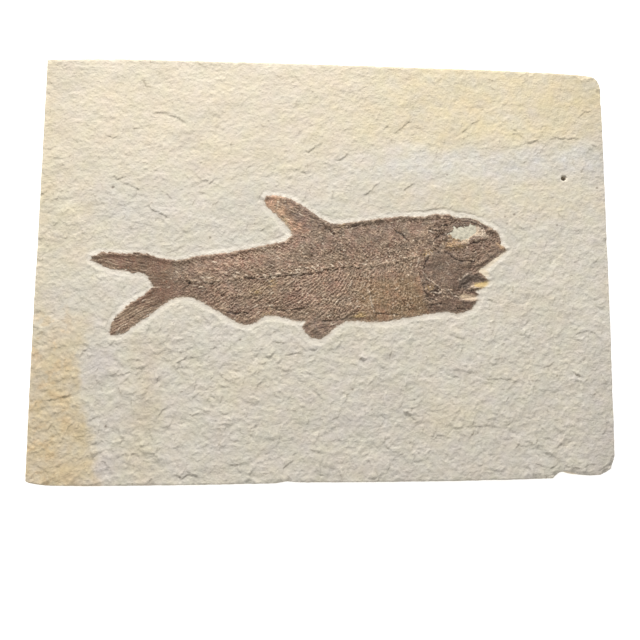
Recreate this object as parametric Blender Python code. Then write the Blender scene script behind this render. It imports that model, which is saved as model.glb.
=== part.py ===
"""Fossil fish slab: a small herring, flattened in a slab of split limestone.

The slab lies on its flat underside with the fish up. +X runs to the fish's head and +Y to its back. The
origin is at the middle of the underside. Plan outlines are in millimetres, seen from above, and MM turns
them into metres.
"""

import math

import bmesh
import bpy
import numpy as np
from mathutils import Vector, noise
from mathutils.geometry import interpolate_bezier

MM = 0.001

# Heights above the underside, in millimetres.
SLAB_TOP = 9.0
RECESS_FLOOR = 8.3
FISH_BED = 7.3
GAP = 0.3
CUTTER_REACH = 3.0

# Plan sizes, in millimetres.
SLAB_CELL = 3.2
FISH_CELL = 1.15
RECESS_WIDTH = 1.5
RECESS_BEVEL = 0.35
CURVE_STEPS = 2

HOLE_PLACE = (64.2, 25.9)
HOLE_DIAMETER = 1.3
HOLE_DEPTH = 1.6
HOLE_SIDES = 12

# The slab's plan, clockwise from its top left corner: sawn edges that run nearly straight, a rounded top
# right corner, and a bottom right corner that has broken away in a shallow chip.
SLAB_CORNERS = [(-73.8, 54.8), (-75.6, -54.4), (58.8, -54.3), (60.6, -52.8), (65.8, -53.3), (74.6, -51.7)]
SLAB_OUTLINE = [
    (-73.8, 54.8),
    (-55.0, 55.7),
    (14.0, 55.9),
    (51.5, 55.7),
    (68.5, 55.3),
    (73.6, 54.6),
    (75.1, 52.4),
    (75.3, 49.0),
    (75.5, 9.0),
    (75.5, -48.5),
    (74.6, -51.7),
    (71.4, -53.5),
    (65.8, -53.3),
    (62.2, -52.4),
    (60.6, -52.8),
    (58.8, -54.3),
    (33.3, -54.9),
    (-6.9, -55.2),
    (-10.1, -54.9),
    (-13.0, -55.4),
    (-49.0, -55.9),
    (-67.0, -55.9),
    (-74.2, -55.5),
    (-75.6, -54.4),
    (-75.0, -12.0),
    (-74.2, 28.5),
]

# The fish's plan, clockwise from the fork of the tail.
TAIL_UPPER_LOBE = [
    (-45.0, -5.5),
    (-45.6, -3.8),
    (-46.9, -2.1),
    (-51.0, -1.3),
    (-56.1, -0.4),
    (-59.2, 0.8),
    (-60.8, 1.7),
    (-60.2, 2.7),
    (-57.5, 3.5),
    (-52.4, 3.2),
    (-47.3, 3.3),
    (-42.7, 2.1),
]
BACK = [
    (-38.8, 1.6),
    (-34.5, 2.7),
    (-24.2, 4.2),
    (-15.1, 6.3),
    (-11.0, 7.3),
    (-8.9, 9.0),
]
DORSAL_FIN = [
    (-10.1, 10.9),
    (-12.5, 13.7),
    (-15.4, 16.2),
    (-16.5, 18.3),
    (-14.9, 19.4),
    (-9.9, 18.5),
    (-4.6, 15.5),
    (1.0, 12.1),
]
HEAD = [
    (7.3, 12.7),
    (19.3, 14.4),
    (26.0, 14.4),
    (28.7, 15.2),
    (32.4, 15.1),
    (34.4, 14.3),
    (38.2, 14.4),
    (42.5, 12.3),
    (45.7, 10.4),
    (46.4, 7.3),
]
JAWS = [
    (47.8, 5.9),
    (40.1, 0.2),
    (42.8, -2.4),
    (37.6, -3.9),
    (40.8, -4.4),
    (39.4, -5.2),
    (40.1, -6.3),
    (35.1, -7.7),
    (39.5, -7.8),
    (38.4, -9.7),
]
BELLY = [
    (34.4, -11.2),
    (31.6, -10.6),
    (27.5, -11.3),
    (22.2, -12.2),
    (16.4, -13.3),
    (11.1, -13.7),
    (4.6, -13.6),
]
PELVIC_FIN = [
    (0.9, -16.3),
    (-1.7, -18.2),
    (-4.3, -17.8),
    (-6.4, -15.3),
    (-5.1, -13.7),
]
ANAL_FIN = [
    (-8.5, -13.5),
    (-12.4, -12.5),
    (-16.2, -12.3),
    (-18.5, -14.0),
    (-21.0, -14.8),
    (-24.5, -13.6),
    (-26.5, -12.3),
    (-32.5, -9.0),
    (-36.5, -7.6),
]
TAIL_LOWER_LOBE = [
    (-40.9, -8.7),
    (-46.2, -12.6),
    (-51.7, -16.7),
    (-54.1, -17.7),
    (-55.9, -17.1),
    (-54.0, -13.2),
    (-51.6, -10.6),
    (-47.9, -8.0),
]
FISH_OUTLINE = (
    TAIL_UPPER_LOBE + BACK + DORSAL_FIN + HEAD + JAWS + BELLY + PELVIC_FIN + ANAL_FIN + TAIL_LOWER_LOBE
)
FISH_CORNERS = JAWS + [(-45.0, -5.5), (-8.9, 9.0), (-5.1, -13.7)]

# Limestone stands in the broken orbit.
ORBIT_OUTLINE = [
    (32.8, 10.2),
    (36.6, 12.5),
    (41.6, 10.8),
    (38.9, 9.0),
    (35.6, 7.5),
    (32.8, 8.6),
]

# The backbone, from the tail to the back of the skull, and what hangs on it.
BACKBONE = [(-36.0, -3.4), (-31.8, -4.1), (-20.0, -2.6), (-7.0, -1.4), (3.3, 0.6), (15.0, 1.3), (24.5, 4.0)]
VERTEBRA_PITCH = 2.4
BACKBONE_HALF_WIDTH = 1.0
BACKBONE_HEIGHT = 0.45
BONE_PITCH = 3.0
BONE_HEIGHT = 0.2
BONE_SLANT = 0.9
RAY_HEIGHT = 0.2
TAIL_RAY_TURN = math.radians(10)
FIN_RAY_PITCH = 2.4
SKULL_START = 24.0
OPERCLE_CENTRE = (31.3, 0.0)
OPERCLE_RADII = (6.6, 5.6)
OPERCLE_HEIGHT = 0.45

# Fins with straight rays: where the fin starts on the body, and the direction its rays run in.
RAYED_FINS = [
    ((-6.0, 9.5), 148.0, 7.0),
    ((1.5, -13.0), 222.0, 4.5),
]

# Ridges of the skull, from end to end: the bone at the back of the gill cover, the upper and the lower jaw,
# the brow over the orbit, the snout and the throat.
SKULL_RIDGES = [
    ((24.8, 5.0), (24.2, -1.0)),
    ((24.2, -1.0), (27.0, -7.5)),
    ((35.0, -3.0), (40.8, 0.2)),
    ((29.0, -8.8), (38.3, -8.8)),
    ((30.0, 13.6), (41.0, 11.9)),
    ((41.5, 9.0), (46.0, 6.3)),
    ((33.0, 3.2), (42.0, 3.0)),
]
SKULL_RIDGE_WIDTH = 1.1
SKULL_RIDGE_HEIGHT = 0.4

# The fish thins to an edge in the recess and stands proud of it along the middle.
FISH_EDGE = 0.25
FISH_CROWN = 1.0
FISH_CROWN_REACH = 5.0

# Ledges where a layer of the limestone has split away: (x, y), the turn of the edge in degrees, its length
# and its height. The surface falls at the edge and climbs slowly back behind it.
LEDGES = [
    ((3.0, 34.0), 45, 9.0, 0.5),
    ((-29.5, 23.6), 55, 8.0, 0.4),
    ((-41.0, 21.5), -40, 9.0, 0.4),
    ((53.0, 37.2), -30, 10.0, 0.5),
    ((66.0, 37.5), 2, 17.0, 0.45),
    ((-65.0, -42.0), 58, 9.0, 0.5),
    ((46.5, -7.5), -20, 6.0, 0.4),
    ((-52.0, 40.0), -25, 12.0, 0.4),
    ((24.0, 44.0), 15, 14.0, 0.4),
    ((-5.0, -34.0), 20, 13.0, 0.45),
    ((30.0, -40.0), 30, 12.0, 0.4),
    ((60.0, -26.0), 35, 11.0, 0.4),
    ((-35.0, -45.0), 25, 12.0, 0.4),
    ((-66.0, 14.0), 40, 9.0, 0.35),
    ((52.0, 10.0), 30, 10.0, 0.35),
    ((-45.0, -30.0), 30, 10.0, 0.35),
]
LEDGE_REACH = 6.0
SWELL_HEIGHT = 0.25
SWELL_LENGTH = 26.0
RIPPLE_HEIGHT = 0.3
RIPPLE_LENGTH = 5.5

LIMESTONE_COLOUR = (0.72, 0.65, 0.51)
FOSSIL_COLOUR = (0.145, 0.096, 0.066)


def clear_scene():
    for leftover in list(bpy.data.objects):
        bpy.data.objects.remove(leftover, do_unlink=True)


def make_material(name, colour, roughness):
    material = bpy.data.materials.new(name)
    material.use_nodes = True
    shader = material.node_tree.nodes["Principled BSDF"]
    shader.inputs["Base Color"].default_value = (*colour, 1.0)
    shader.inputs["Roughness"].default_value = roughness
    shader.inputs["Metallic"].default_value = 0.0
    return material


def smooth_ring(points, corners):
    """Points along a closed curve through the given ones, which turns sharply at the corners."""
    count = len(points)
    ring = []
    for i in range(count):
        before, start, end, after = (Vector((*points[(i + k) % count], 0)) for k in (-1, 0, 1, 2))
        reach = (end - start).length / 3
        leave = end - start if points[i] in corners else end - before
        arrive = end - start if points[(i + 1) % count] in corners else after - start
        first_handle = start + leave.normalized() * reach
        last_handle = end - arrive.normalized() * reach
        stretch = interpolate_bezier(start, first_handle, last_handle, end, CURVE_STEPS + 1)
        ring += [(place.x, place.y) for place in stretch[:-1]]
    return np.array(ring)


def distance_to(ring, places):
    """How far each place is from a closed ring of straight stretches."""
    nearest = np.full(len(places), np.inf)
    for start, end in zip(ring, np.roll(ring, -1, axis=0)):
        span = end - start
        offsets = places - start
        share = np.clip(offsets @ span / (span @ span), 0, 1)
        gaps = np.linalg.norm(offsets - share[:, None] * span, axis=1)
        nearest = np.minimum(nearest, gaps)
    return nearest


def grown_ring(ring, width):
    """A clockwise ring moved outward by a width, less the points that would fold over in its hollows."""
    run = np.roll(ring, -1, axis=0) - np.roll(ring, 1, axis=0)
    outward = np.stack([-run[:, 1], run[:, 0]], axis=1)
    outward /= np.linalg.norm(outward, axis=1)[:, None]
    moved = ring + outward * width
    return moved[distance_to(ring, moved) > 0.97 * abs(width)]


def prism(name, ring, bottom, top, bevel=0.0):
    """A closed mesh object: the ring's flat shape, from the bottom to the top height."""
    curve = bpy.data.curves.new(name, "CURVE")
    curve.dimensions = "2D"
    curve.fill_mode = "BOTH"
    curve.extrude = ((top - bottom) / 2 - bevel) * MM
    curve.bevel_depth = bevel * MM
    curve.bevel_resolution = 0
    curve.offset = -bevel * MM
    spline = curve.splines.new("POLY")
    spline.points.add(len(ring) - 1)
    spline.use_cyclic_u = True
    for point, (x, y) in zip(spline.points, ring):
        point.co = (x * MM, y * MM, 0, 1)
    outline = bpy.data.objects.new(name, curve)
    bpy.context.scene.collection.objects.link(outline)
    graph = bpy.context.evaluated_depsgraph_get()
    mesh = bpy.data.meshes.new_from_object(outline.evaluated_get(graph))
    bpy.data.objects.remove(outline)
    shape = bmesh.new()
    shape.from_mesh(mesh)
    bmesh.ops.remove_doubles(shape, verts=shape.verts, dist=0.00001)
    bmesh.ops.recalc_face_normals(shape, faces=shape.faces)
    shape.to_mesh(mesh)
    shape.free()
    solid = bpy.data.objects.new(name, mesh)
    solid.location.z = (top + bottom) / 2 * MM
    return solid


def relief_block(name, ring, cell, bottom, height_at):
    """A closed block round the ring, flat below, whose top follows height_at."""
    low = ring.min(axis=0) - cell
    high = ring.max(axis=0) + cell
    middle = (low + high) / 2
    columns, rows = np.ceil((high - low) / cell).astype(int)
    shape = bmesh.new()
    bmesh.ops.create_grid(shape, x_segments=columns, y_segments=rows, size=1.0)
    reach = np.array([columns, rows]) * cell / 2
    places = np.array([vert.co.xy for vert in shape.verts]) * reach + middle
    for vert, (x, y), z in zip(shape.verts, places, height_at(places)):
        vert.co = (x * MM, y * MM, z * MM)
    bmesh.ops.triangulate(shape, faces=shape.faces)
    rim = [edge for edge in shape.edges if edge.is_boundary]
    walls = bmesh.ops.extrude_edge_only(shape, edges=rim)["geom"]
    for vert in walls:
        if isinstance(vert, bmesh.types.BMVert):
            vert.co.z = bottom * MM
    lower_rim = [edge for edge in shape.edges if edge.is_boundary]
    bmesh.ops.contextual_create(shape, geom=lower_rim)
    bmesh.ops.recalc_face_normals(shape, faces=shape.faces)
    mesh = bpy.data.meshes.new(name)
    shape.to_mesh(mesh)
    shape.free()
    return bpy.data.objects.new(name, mesh)


def cut(solid, operation, cutter):
    modifier = solid.modifiers.new(cutter.name, "BOOLEAN")
    modifier.operation = operation
    modifier.solver = "EXACT"
    modifier.object = cutter


def soft_step(share):
    share = np.clip(share, 0, 1)
    return share * share * (3 - 2 * share)


def wave(along, pitch):
    return np.cos(2 * math.pi * along / pitch)


def stone_noise(places, length, seed):
    return np.array([noise.noise(Vector((x / length, y / length, seed))) for x, y in places])


def slab_height(places):
    """The split face: long swells, ripples, and ledges that fall on one side."""
    height = SLAB_TOP + SWELL_HEIGHT * stone_noise(places, SWELL_LENGTH, 3.1)
    height += RIPPLE_HEIGHT * stone_noise(places, RIPPLE_LENGTH, 7.7)
    for centre, turn, length, drop in LEDGES:
        angle = math.radians(turn)
        along = np.array([math.cos(angle), math.sin(angle)])
        across = np.array([-along[1], along[0]])
        offsets = places - centre
        inside = soft_step(1.5 - np.abs(offsets @ along) / (length / 2))
        behind = offsets @ across
        fall = np.where(behind < 0, np.exp(np.minimum(behind, 0) / LEDGE_REACH), 0)
        height += drop * inside * fall
    return height


def backbone_at(x):
    joints = np.array(BACKBONE)
    return np.interp(x, joints[:, 0], joints[:, 1])


def fish_height(places):
    """The flattened fish: a low crown with its backbone, ribs, fin rays and cheek plate."""
    x, y = places.T
    ring = smooth_ring(FISH_OUTLINE, FISH_CORNERS)
    crown = soft_step(distance_to(ring, places) / FISH_CROWN_REACH)
    height = RECESS_FLOOR + FISH_EDGE + (FISH_CROWN - FISH_EDGE) * crown

    above = y - backbone_at(x)
    tail_root = np.array(BACKBONE[0])
    in_body = soft_step((x - tail_root[0] + 2) / 4) * soft_step((SKULL_START - x) / 2)
    beads = 0.7 + 0.3 * wave(x, VERTEBRA_PITCH)
    height += BACKBONE_HEIGHT * in_body * beads * np.exp(-((above / BACKBONE_HALF_WIDTH) ** 2))

    off_backbone = soft_step((np.abs(above) - BACKBONE_HALF_WIDTH) / 1.5)
    bones = wave(x + BONE_SLANT * np.abs(above), BONE_PITCH)
    height += BONE_HEIGHT * in_body * off_backbone * bones * crown

    from_root = places - tail_root
    turn = np.arctan2(from_root[:, 1], -from_root[:, 0])
    in_tail = soft_step((tail_root[0] - x) / 4)
    height += RAY_HEIGHT * in_tail * wave(turn, TAIL_RAY_TURN)
    for root, heading, reach in RAYED_FINS:
        angle = math.radians(heading)
        offsets = places - root
        along = offsets @ (math.cos(angle), math.sin(angle))
        across = offsets @ (-math.sin(angle), math.cos(angle))
        in_fin = soft_step(along / 2) * soft_step((reach - np.abs(across)) / 2)
        height += RAY_HEIGHT * in_fin * wave(across, FIN_RAY_PITCH)

    for start, end in SKULL_RIDGES:
        gap = distance_to(np.array([start, end]), places)
        height += SKULL_RIDGE_HEIGHT * np.exp(-((gap / SKULL_RIDGE_WIDTH) ** 2))
    cheek = np.linalg.norm((places - OPERCLE_CENTRE) / OPERCLE_RADII, axis=1)
    height += OPERCLE_HEIGHT * soft_step((1.15 - cheek) / 0.3)
    return height


def build():
    clear_scene()
    limestone = make_material("limestone", LIMESTONE_COLOUR, 0.85)
    fossil = make_material("fossil_bone", FOSSIL_COLOUR, 0.7)

    parts = bpy.data.collections.new("fossil_fish_slab")
    cutters = bpy.data.collections.new("cutters")
    cutters.hide_render = True
    for collection in (parts, cutters):
        bpy.context.scene.collection.children.link(collection)

    slab_ring = smooth_ring(SLAB_OUTLINE, SLAB_CORNERS)
    fish_ring = smooth_ring(FISH_OUTLINE, FISH_CORNERS)
    orbit_ring = smooth_ring(ORBIT_OUTLINE, [])
    above_all = SLAB_TOP + CUTTER_REACH

    slab_sides = prism("slab_sides", slab_ring, 0, above_all)
    recess_ring = grown_ring(fish_ring, RECESS_WIDTH)[::CURVE_STEPS]
    recess = prism("recess", recess_ring, RECESS_FLOOR, above_all, RECESS_BEVEL)
    bed = prism("bed", grown_ring(fish_ring, GAP), FISH_BED - GAP, above_all)
    orbit_stone = prism("orbit_stone", grown_ring(orbit_ring, -GAP), FISH_BED - CUTTER_REACH, above_all)
    cut(bed, "DIFFERENCE", orbit_stone)
    bpy.ops.mesh.primitive_cylinder_add(
        vertices=HOLE_SIDES,
        radius=HOLE_DIAMETER / 2 * MM,
        depth=(HOLE_DEPTH + CUTTER_REACH) * MM,
        location=(HOLE_PLACE[0] * MM, HOLE_PLACE[1] * MM, (SLAB_TOP + (CUTTER_REACH - HOLE_DEPTH) / 2) * MM),
    )
    hole = bpy.context.object
    hole.name = "hole"

    slab = relief_block("limestone_slab", slab_ring, SLAB_CELL, -CUTTER_REACH, slab_height)
    cut(slab, "INTERSECT", slab_sides)
    for cutter in (recess, bed, hole):
        cut(slab, "DIFFERENCE", cutter)

    fish_sides = prism("fish_sides", fish_ring, FISH_BED, above_all)
    orbit_cut = prism("orbit_cut", orbit_ring, FISH_BED - CUTTER_REACH, above_all + CUTTER_REACH)
    fish = relief_block("fossil_fish", fish_ring, FISH_CELL, FISH_BED - CUTTER_REACH, fish_height)
    cut(fish, "INTERSECT", fish_sides)
    cut(fish, "DIFFERENCE", orbit_cut)

    for solid, material in ((slab, limestone), (fish, fossil)):
        solid.data.materials.append(material)
        parts.objects.link(solid)
    for collection in hole.users_collection:
        collection.objects.unlink(hole)
    for cutter in (slab_sides, recess, bed, orbit_stone, hole, fish_sides, orbit_cut):
        cutter.hide_render = True
        cutter.display_type = "WIRE"
        cutters.objects.link(cutter)


build()
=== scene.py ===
"""The looks of the fossil fish slab: its split limestone face, the scraped recess and the fossil herring.

Plan places and heights are worked out in millimetres, on rasters seen from above, and MM turns them into
metres. +X runs to the fish's head, +Y to its back, and the underside lies at height 0.
"""

import math
from functools import partial

import bmesh
import bpy
import numpy as np
from mathutils import Matrix, Vector


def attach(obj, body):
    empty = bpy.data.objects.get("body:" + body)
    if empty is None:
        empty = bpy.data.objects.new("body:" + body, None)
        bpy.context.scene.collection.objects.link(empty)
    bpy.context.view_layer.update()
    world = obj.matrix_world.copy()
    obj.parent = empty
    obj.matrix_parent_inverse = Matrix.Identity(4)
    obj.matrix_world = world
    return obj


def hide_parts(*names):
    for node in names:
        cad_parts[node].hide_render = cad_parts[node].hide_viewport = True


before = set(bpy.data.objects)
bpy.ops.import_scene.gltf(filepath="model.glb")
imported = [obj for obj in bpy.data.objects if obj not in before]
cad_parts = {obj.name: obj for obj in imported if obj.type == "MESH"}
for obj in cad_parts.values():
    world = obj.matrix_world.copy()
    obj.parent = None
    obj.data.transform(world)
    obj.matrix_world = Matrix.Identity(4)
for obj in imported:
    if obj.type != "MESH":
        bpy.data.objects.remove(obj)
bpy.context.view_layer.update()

MM = 0.001

# The camera, which looks down on the slab from a little below and left of its middle.
CAMERA_PLACE = (-23.55, -47.9, 271.0)
CAMERA_TARGET = (-1.9, -13.45, 9.0)
CAMERA_LENS = 57.4

# A white floor and sky, and a window above and behind the slab. The floor and the window are in metres.
FLOOR_GLOW = 0.62
FLOOR_HALF = 1.5
FLOOR_DROP = 0.0002
WORLD_STRENGTH = 0.53
LAMP_POWER = 2.52
LAMP_SIZE = (0.17, 0.14)
LAMP_PLACE = (-70.0, 420.0, 215.0)

# The height of the split face, and the recess that was scraped into it round the fish.
SLAB_TOP = 9.0
RECESS_WIDTH = 1.45
RECESS_DEPTH = 0.3
# The stone drops a little under the film and ends this far in from the fish's outline, and the film stops
# this far outside its frayed edge.
UNDER_FILM_DROP = 0.35
BURIED_REACH = 2.4
FILM_REACH = 0.32

# Scars where flakes have split off: how many, from the smallest to the largest size, and their drops.
SMALL_SCARS = (7000, (0.8, 2.5), (0.03, 0.13))
LARGE_SCARS = (1700, (2.2, 6.0), (0.04, 0.15))
# The slab's top edges are rounded over this width by this drop, with small bites out of them.
EDGE_WIDTH = 0.42
EDGE_DROP = 0.18
EDGE_CHIPS = 110
EDGE_STEPS = 8

# The sizes of the cells that the rasters and the meshes have.
RASTER_CELL = 0.1
STONE_CELL = 0.25
FISH_CELL = 0.15
UNDERSIDE_CELL = 1.0

# The limestone's scaly bumps: how many in a metre, and how far they bend, in metres.
SCALES_PER_METRE = 620
SCALE_BEND = 0.0016


# ---------------------------------------------------------------- rasters and noise


class Raster:
    """A regular grid of places over a rectangle, in millimetres."""

    def __init__(self, low, high, cell):
        self.low = np.array(low, float)
        self.cell = cell
        self.columns, self.rows = (int(math.ceil((h - l) / cell)) + 1 for l, h in zip(low, high))
        xs = self.low[0] + np.arange(self.columns) * cell
        ys = self.low[1] + np.arange(self.rows) * cell
        self.x, self.y = np.meshgrid(xs, ys)

    def window(self, centre, reach):
        """The slices of the raster within a reach of a place."""
        first = np.floor((np.array(centre) - reach - self.low) / self.cell).astype(int)
        last = np.ceil((np.array(centre) + reach - self.low) / self.cell).astype(int) + 1
        first = np.maximum(first, 0)
        return slice(first[1], max(last[1], 0)), slice(first[0], max(last[0], 0))

    def read(self, values, places):
        """Values on the raster, read between its points at other places."""
        u = np.clip((places[:, 0] - self.low[0]) / self.cell, 0, self.columns - 1.001)
        v = np.clip((places[:, 1] - self.low[1]) / self.cell, 0, self.rows - 1.001)
        i, j = u.astype(int), v.astype(int)
        fu, fv = u - i, v - j
        below = values[j, i] * (1 - fu) + values[j, i + 1] * fu
        above = values[j + 1, i] * (1 - fu) + values[j + 1, i + 1] * fu
        return below * (1 - fv) + above * fv


def soft_step(share):
    """0 to 1 with a soft start and end."""
    share = np.clip(share, 0, 1)
    return share * share * (3 - 2 * share)


def lattice(i, j, seed):
    """An even spread of numbers from 0 to 1, one for each whole place."""
    mixed = (i * 374761393 + j * 668265263 + seed * 974634777) & 0xFFFFFFFF
    mixed = ((mixed ^ (mixed >> 13)) * 1274126177) & 0xFFFFFFFF
    mixed = ((mixed ^ (mixed >> 15)) * 2246822519) & 0xFFFFFFFF
    return ((mixed ^ (mixed >> 16)) & 0xFFFFFF) / 0x1000000


def bumps(x, y, seed):
    """Smooth noise from about -0.7 to 0.7, with bumps about one unit wide."""
    i, j = np.floor(x).astype(np.int64), np.floor(y).astype(np.int64)
    fx, fy = x - i, y - j
    sx, sy = fx**3 * (fx * (6 * fx - 15) + 10), fy**3 * (fy * (6 * fy - 15) + 10)
    wide = i.max() - i.min() + 2
    knots_i, knots_j = np.meshgrid(np.arange(i.min(), i.max() + 2), np.arange(j.min(), j.max() + 2))
    turn = 2 * math.pi * lattice(knots_i, knots_j, seed).ravel()
    turn_x, turn_y = np.cos(turn), np.sin(turn)
    first = (j - j.min()) * wide + i - i.min()

    def pull(di, dj):
        knot = first + dj * wide + di
        return turn_x[knot] * (fx - di) + turn_y[knot] * (fy - dj)

    low = pull(0, 0) * (1 - sx) + pull(1, 0) * sx
    high = pull(0, 1) * (1 - sx) + pull(1, 1) * sx
    return low * (1 - sy) + high * sy


def fractal(x, y, length, seed, octaves=3, gain=0.5):
    """Bumps about a length wide, with finer and weaker ones over them."""
    total = 0
    for k in range(octaves):
        total = total + gain**k * bumps(x * 2**k / length, y * 2**k / length, seed + 17 * k)
    return total


def blurred(values, rounds):
    """Values smoothed by a small kernel, several times."""
    for _ in range(rounds):
        for axis in (0, 1):
            ahead, behind = np.roll(values, 1, axis), np.roll(values, -1, axis)
            values = (ahead + 2 * values + behind) / 4
    return values


def signed_distance(raster, ring, reach):
    """How far each place of a raster is outside a closed ring, below zero inside, up to a reach."""
    nearest = np.full(raster.x.shape, float(reach))
    inside = np.zeros(raster.x.shape, bool)
    for start, end in zip(ring, np.roll(ring, -1, axis=0)):
        span = end - start
        rows, columns = raster.window((start + end) / 2, np.linalg.norm(span) / 2 + reach)
        x, y = raster.x[rows, columns] - start[0], raster.y[rows, columns] - start[1]
        share = np.clip((x * span[0] + y * span[1]) / (span @ span), 0, 1)
        gap = np.hypot(x - share * span[0], y - share * span[1])
        nearest[rows, columns] = np.minimum(nearest[rows, columns], gap)
        if start[1] != end[1]:
            low, high = sorted((start[1], end[1]))
            ys = raster.y[:, 0]
            crossed = np.flatnonzero((ys >= low) & (ys < high))
            edge_x = start[0] + (ys[crossed] - start[1]) * span[0] / span[1]
            inside[crossed] ^= raster.x[crossed] < edge_x[:, None]
    return np.where(inside, -nearest, nearest)


# ---------------------------------------------------------------- outlines from the frame


def underside_ring(node):
    """The outline of a CAD node's flat underside, in millimetres, in order round it."""
    shape = bmesh.new()
    shape.from_mesh(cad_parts[node].data)
    bmesh.ops.remove_doubles(shape, verts=shape.verts, dist=0.000005)
    lowest = min(vert.co.z for vert in shape.verts)
    flat = {face for face in shape.faces if all(vert.co.z < lowest + 0.00001 for vert in face.verts)}
    rim = {}
    for edge in shape.edges:
        sides = [face in flat for face in edge.link_faces]
        if sides.count(True) == 1:
            a, b = edge.verts
            rim.setdefault(a.index, []).append(b.index)
            rim.setdefault(b.index, []).append(a.index)
    shape.verts.ensure_lookup_table()
    rings = []
    while rim:
        start = here = next(iter(rim))
        ring = []
        while here in rim:
            ring.append(here)
            following = [k for k in rim.pop(here) if k in rim]
            here = following[0] if following else start
        rings.append(np.array([shape.verts[k].co.xy for k in ring]) / MM)
    shape.free()
    return sorted(rings, key=lambda ring: -np.ptp(ring[:, 0]))


slab_ring = underside_ring("limestone_slab")[0]
for corner, step, reach in (((-75.6, -54.4), (0.05, -0.4), 0.6), ((-74.2, -55.5), (-0.7, 0.35), 0.7)):
    away = np.linalg.norm(slab_ring - corner, axis=1)
    slab_ring = slab_ring + np.exp(-((away / reach) ** 2))[:, None] * step
fish_ring, orbit_ring = underside_ring("fossil_fish")[:2]

# ---------------------------------------------------------------- marks on the stone

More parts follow.
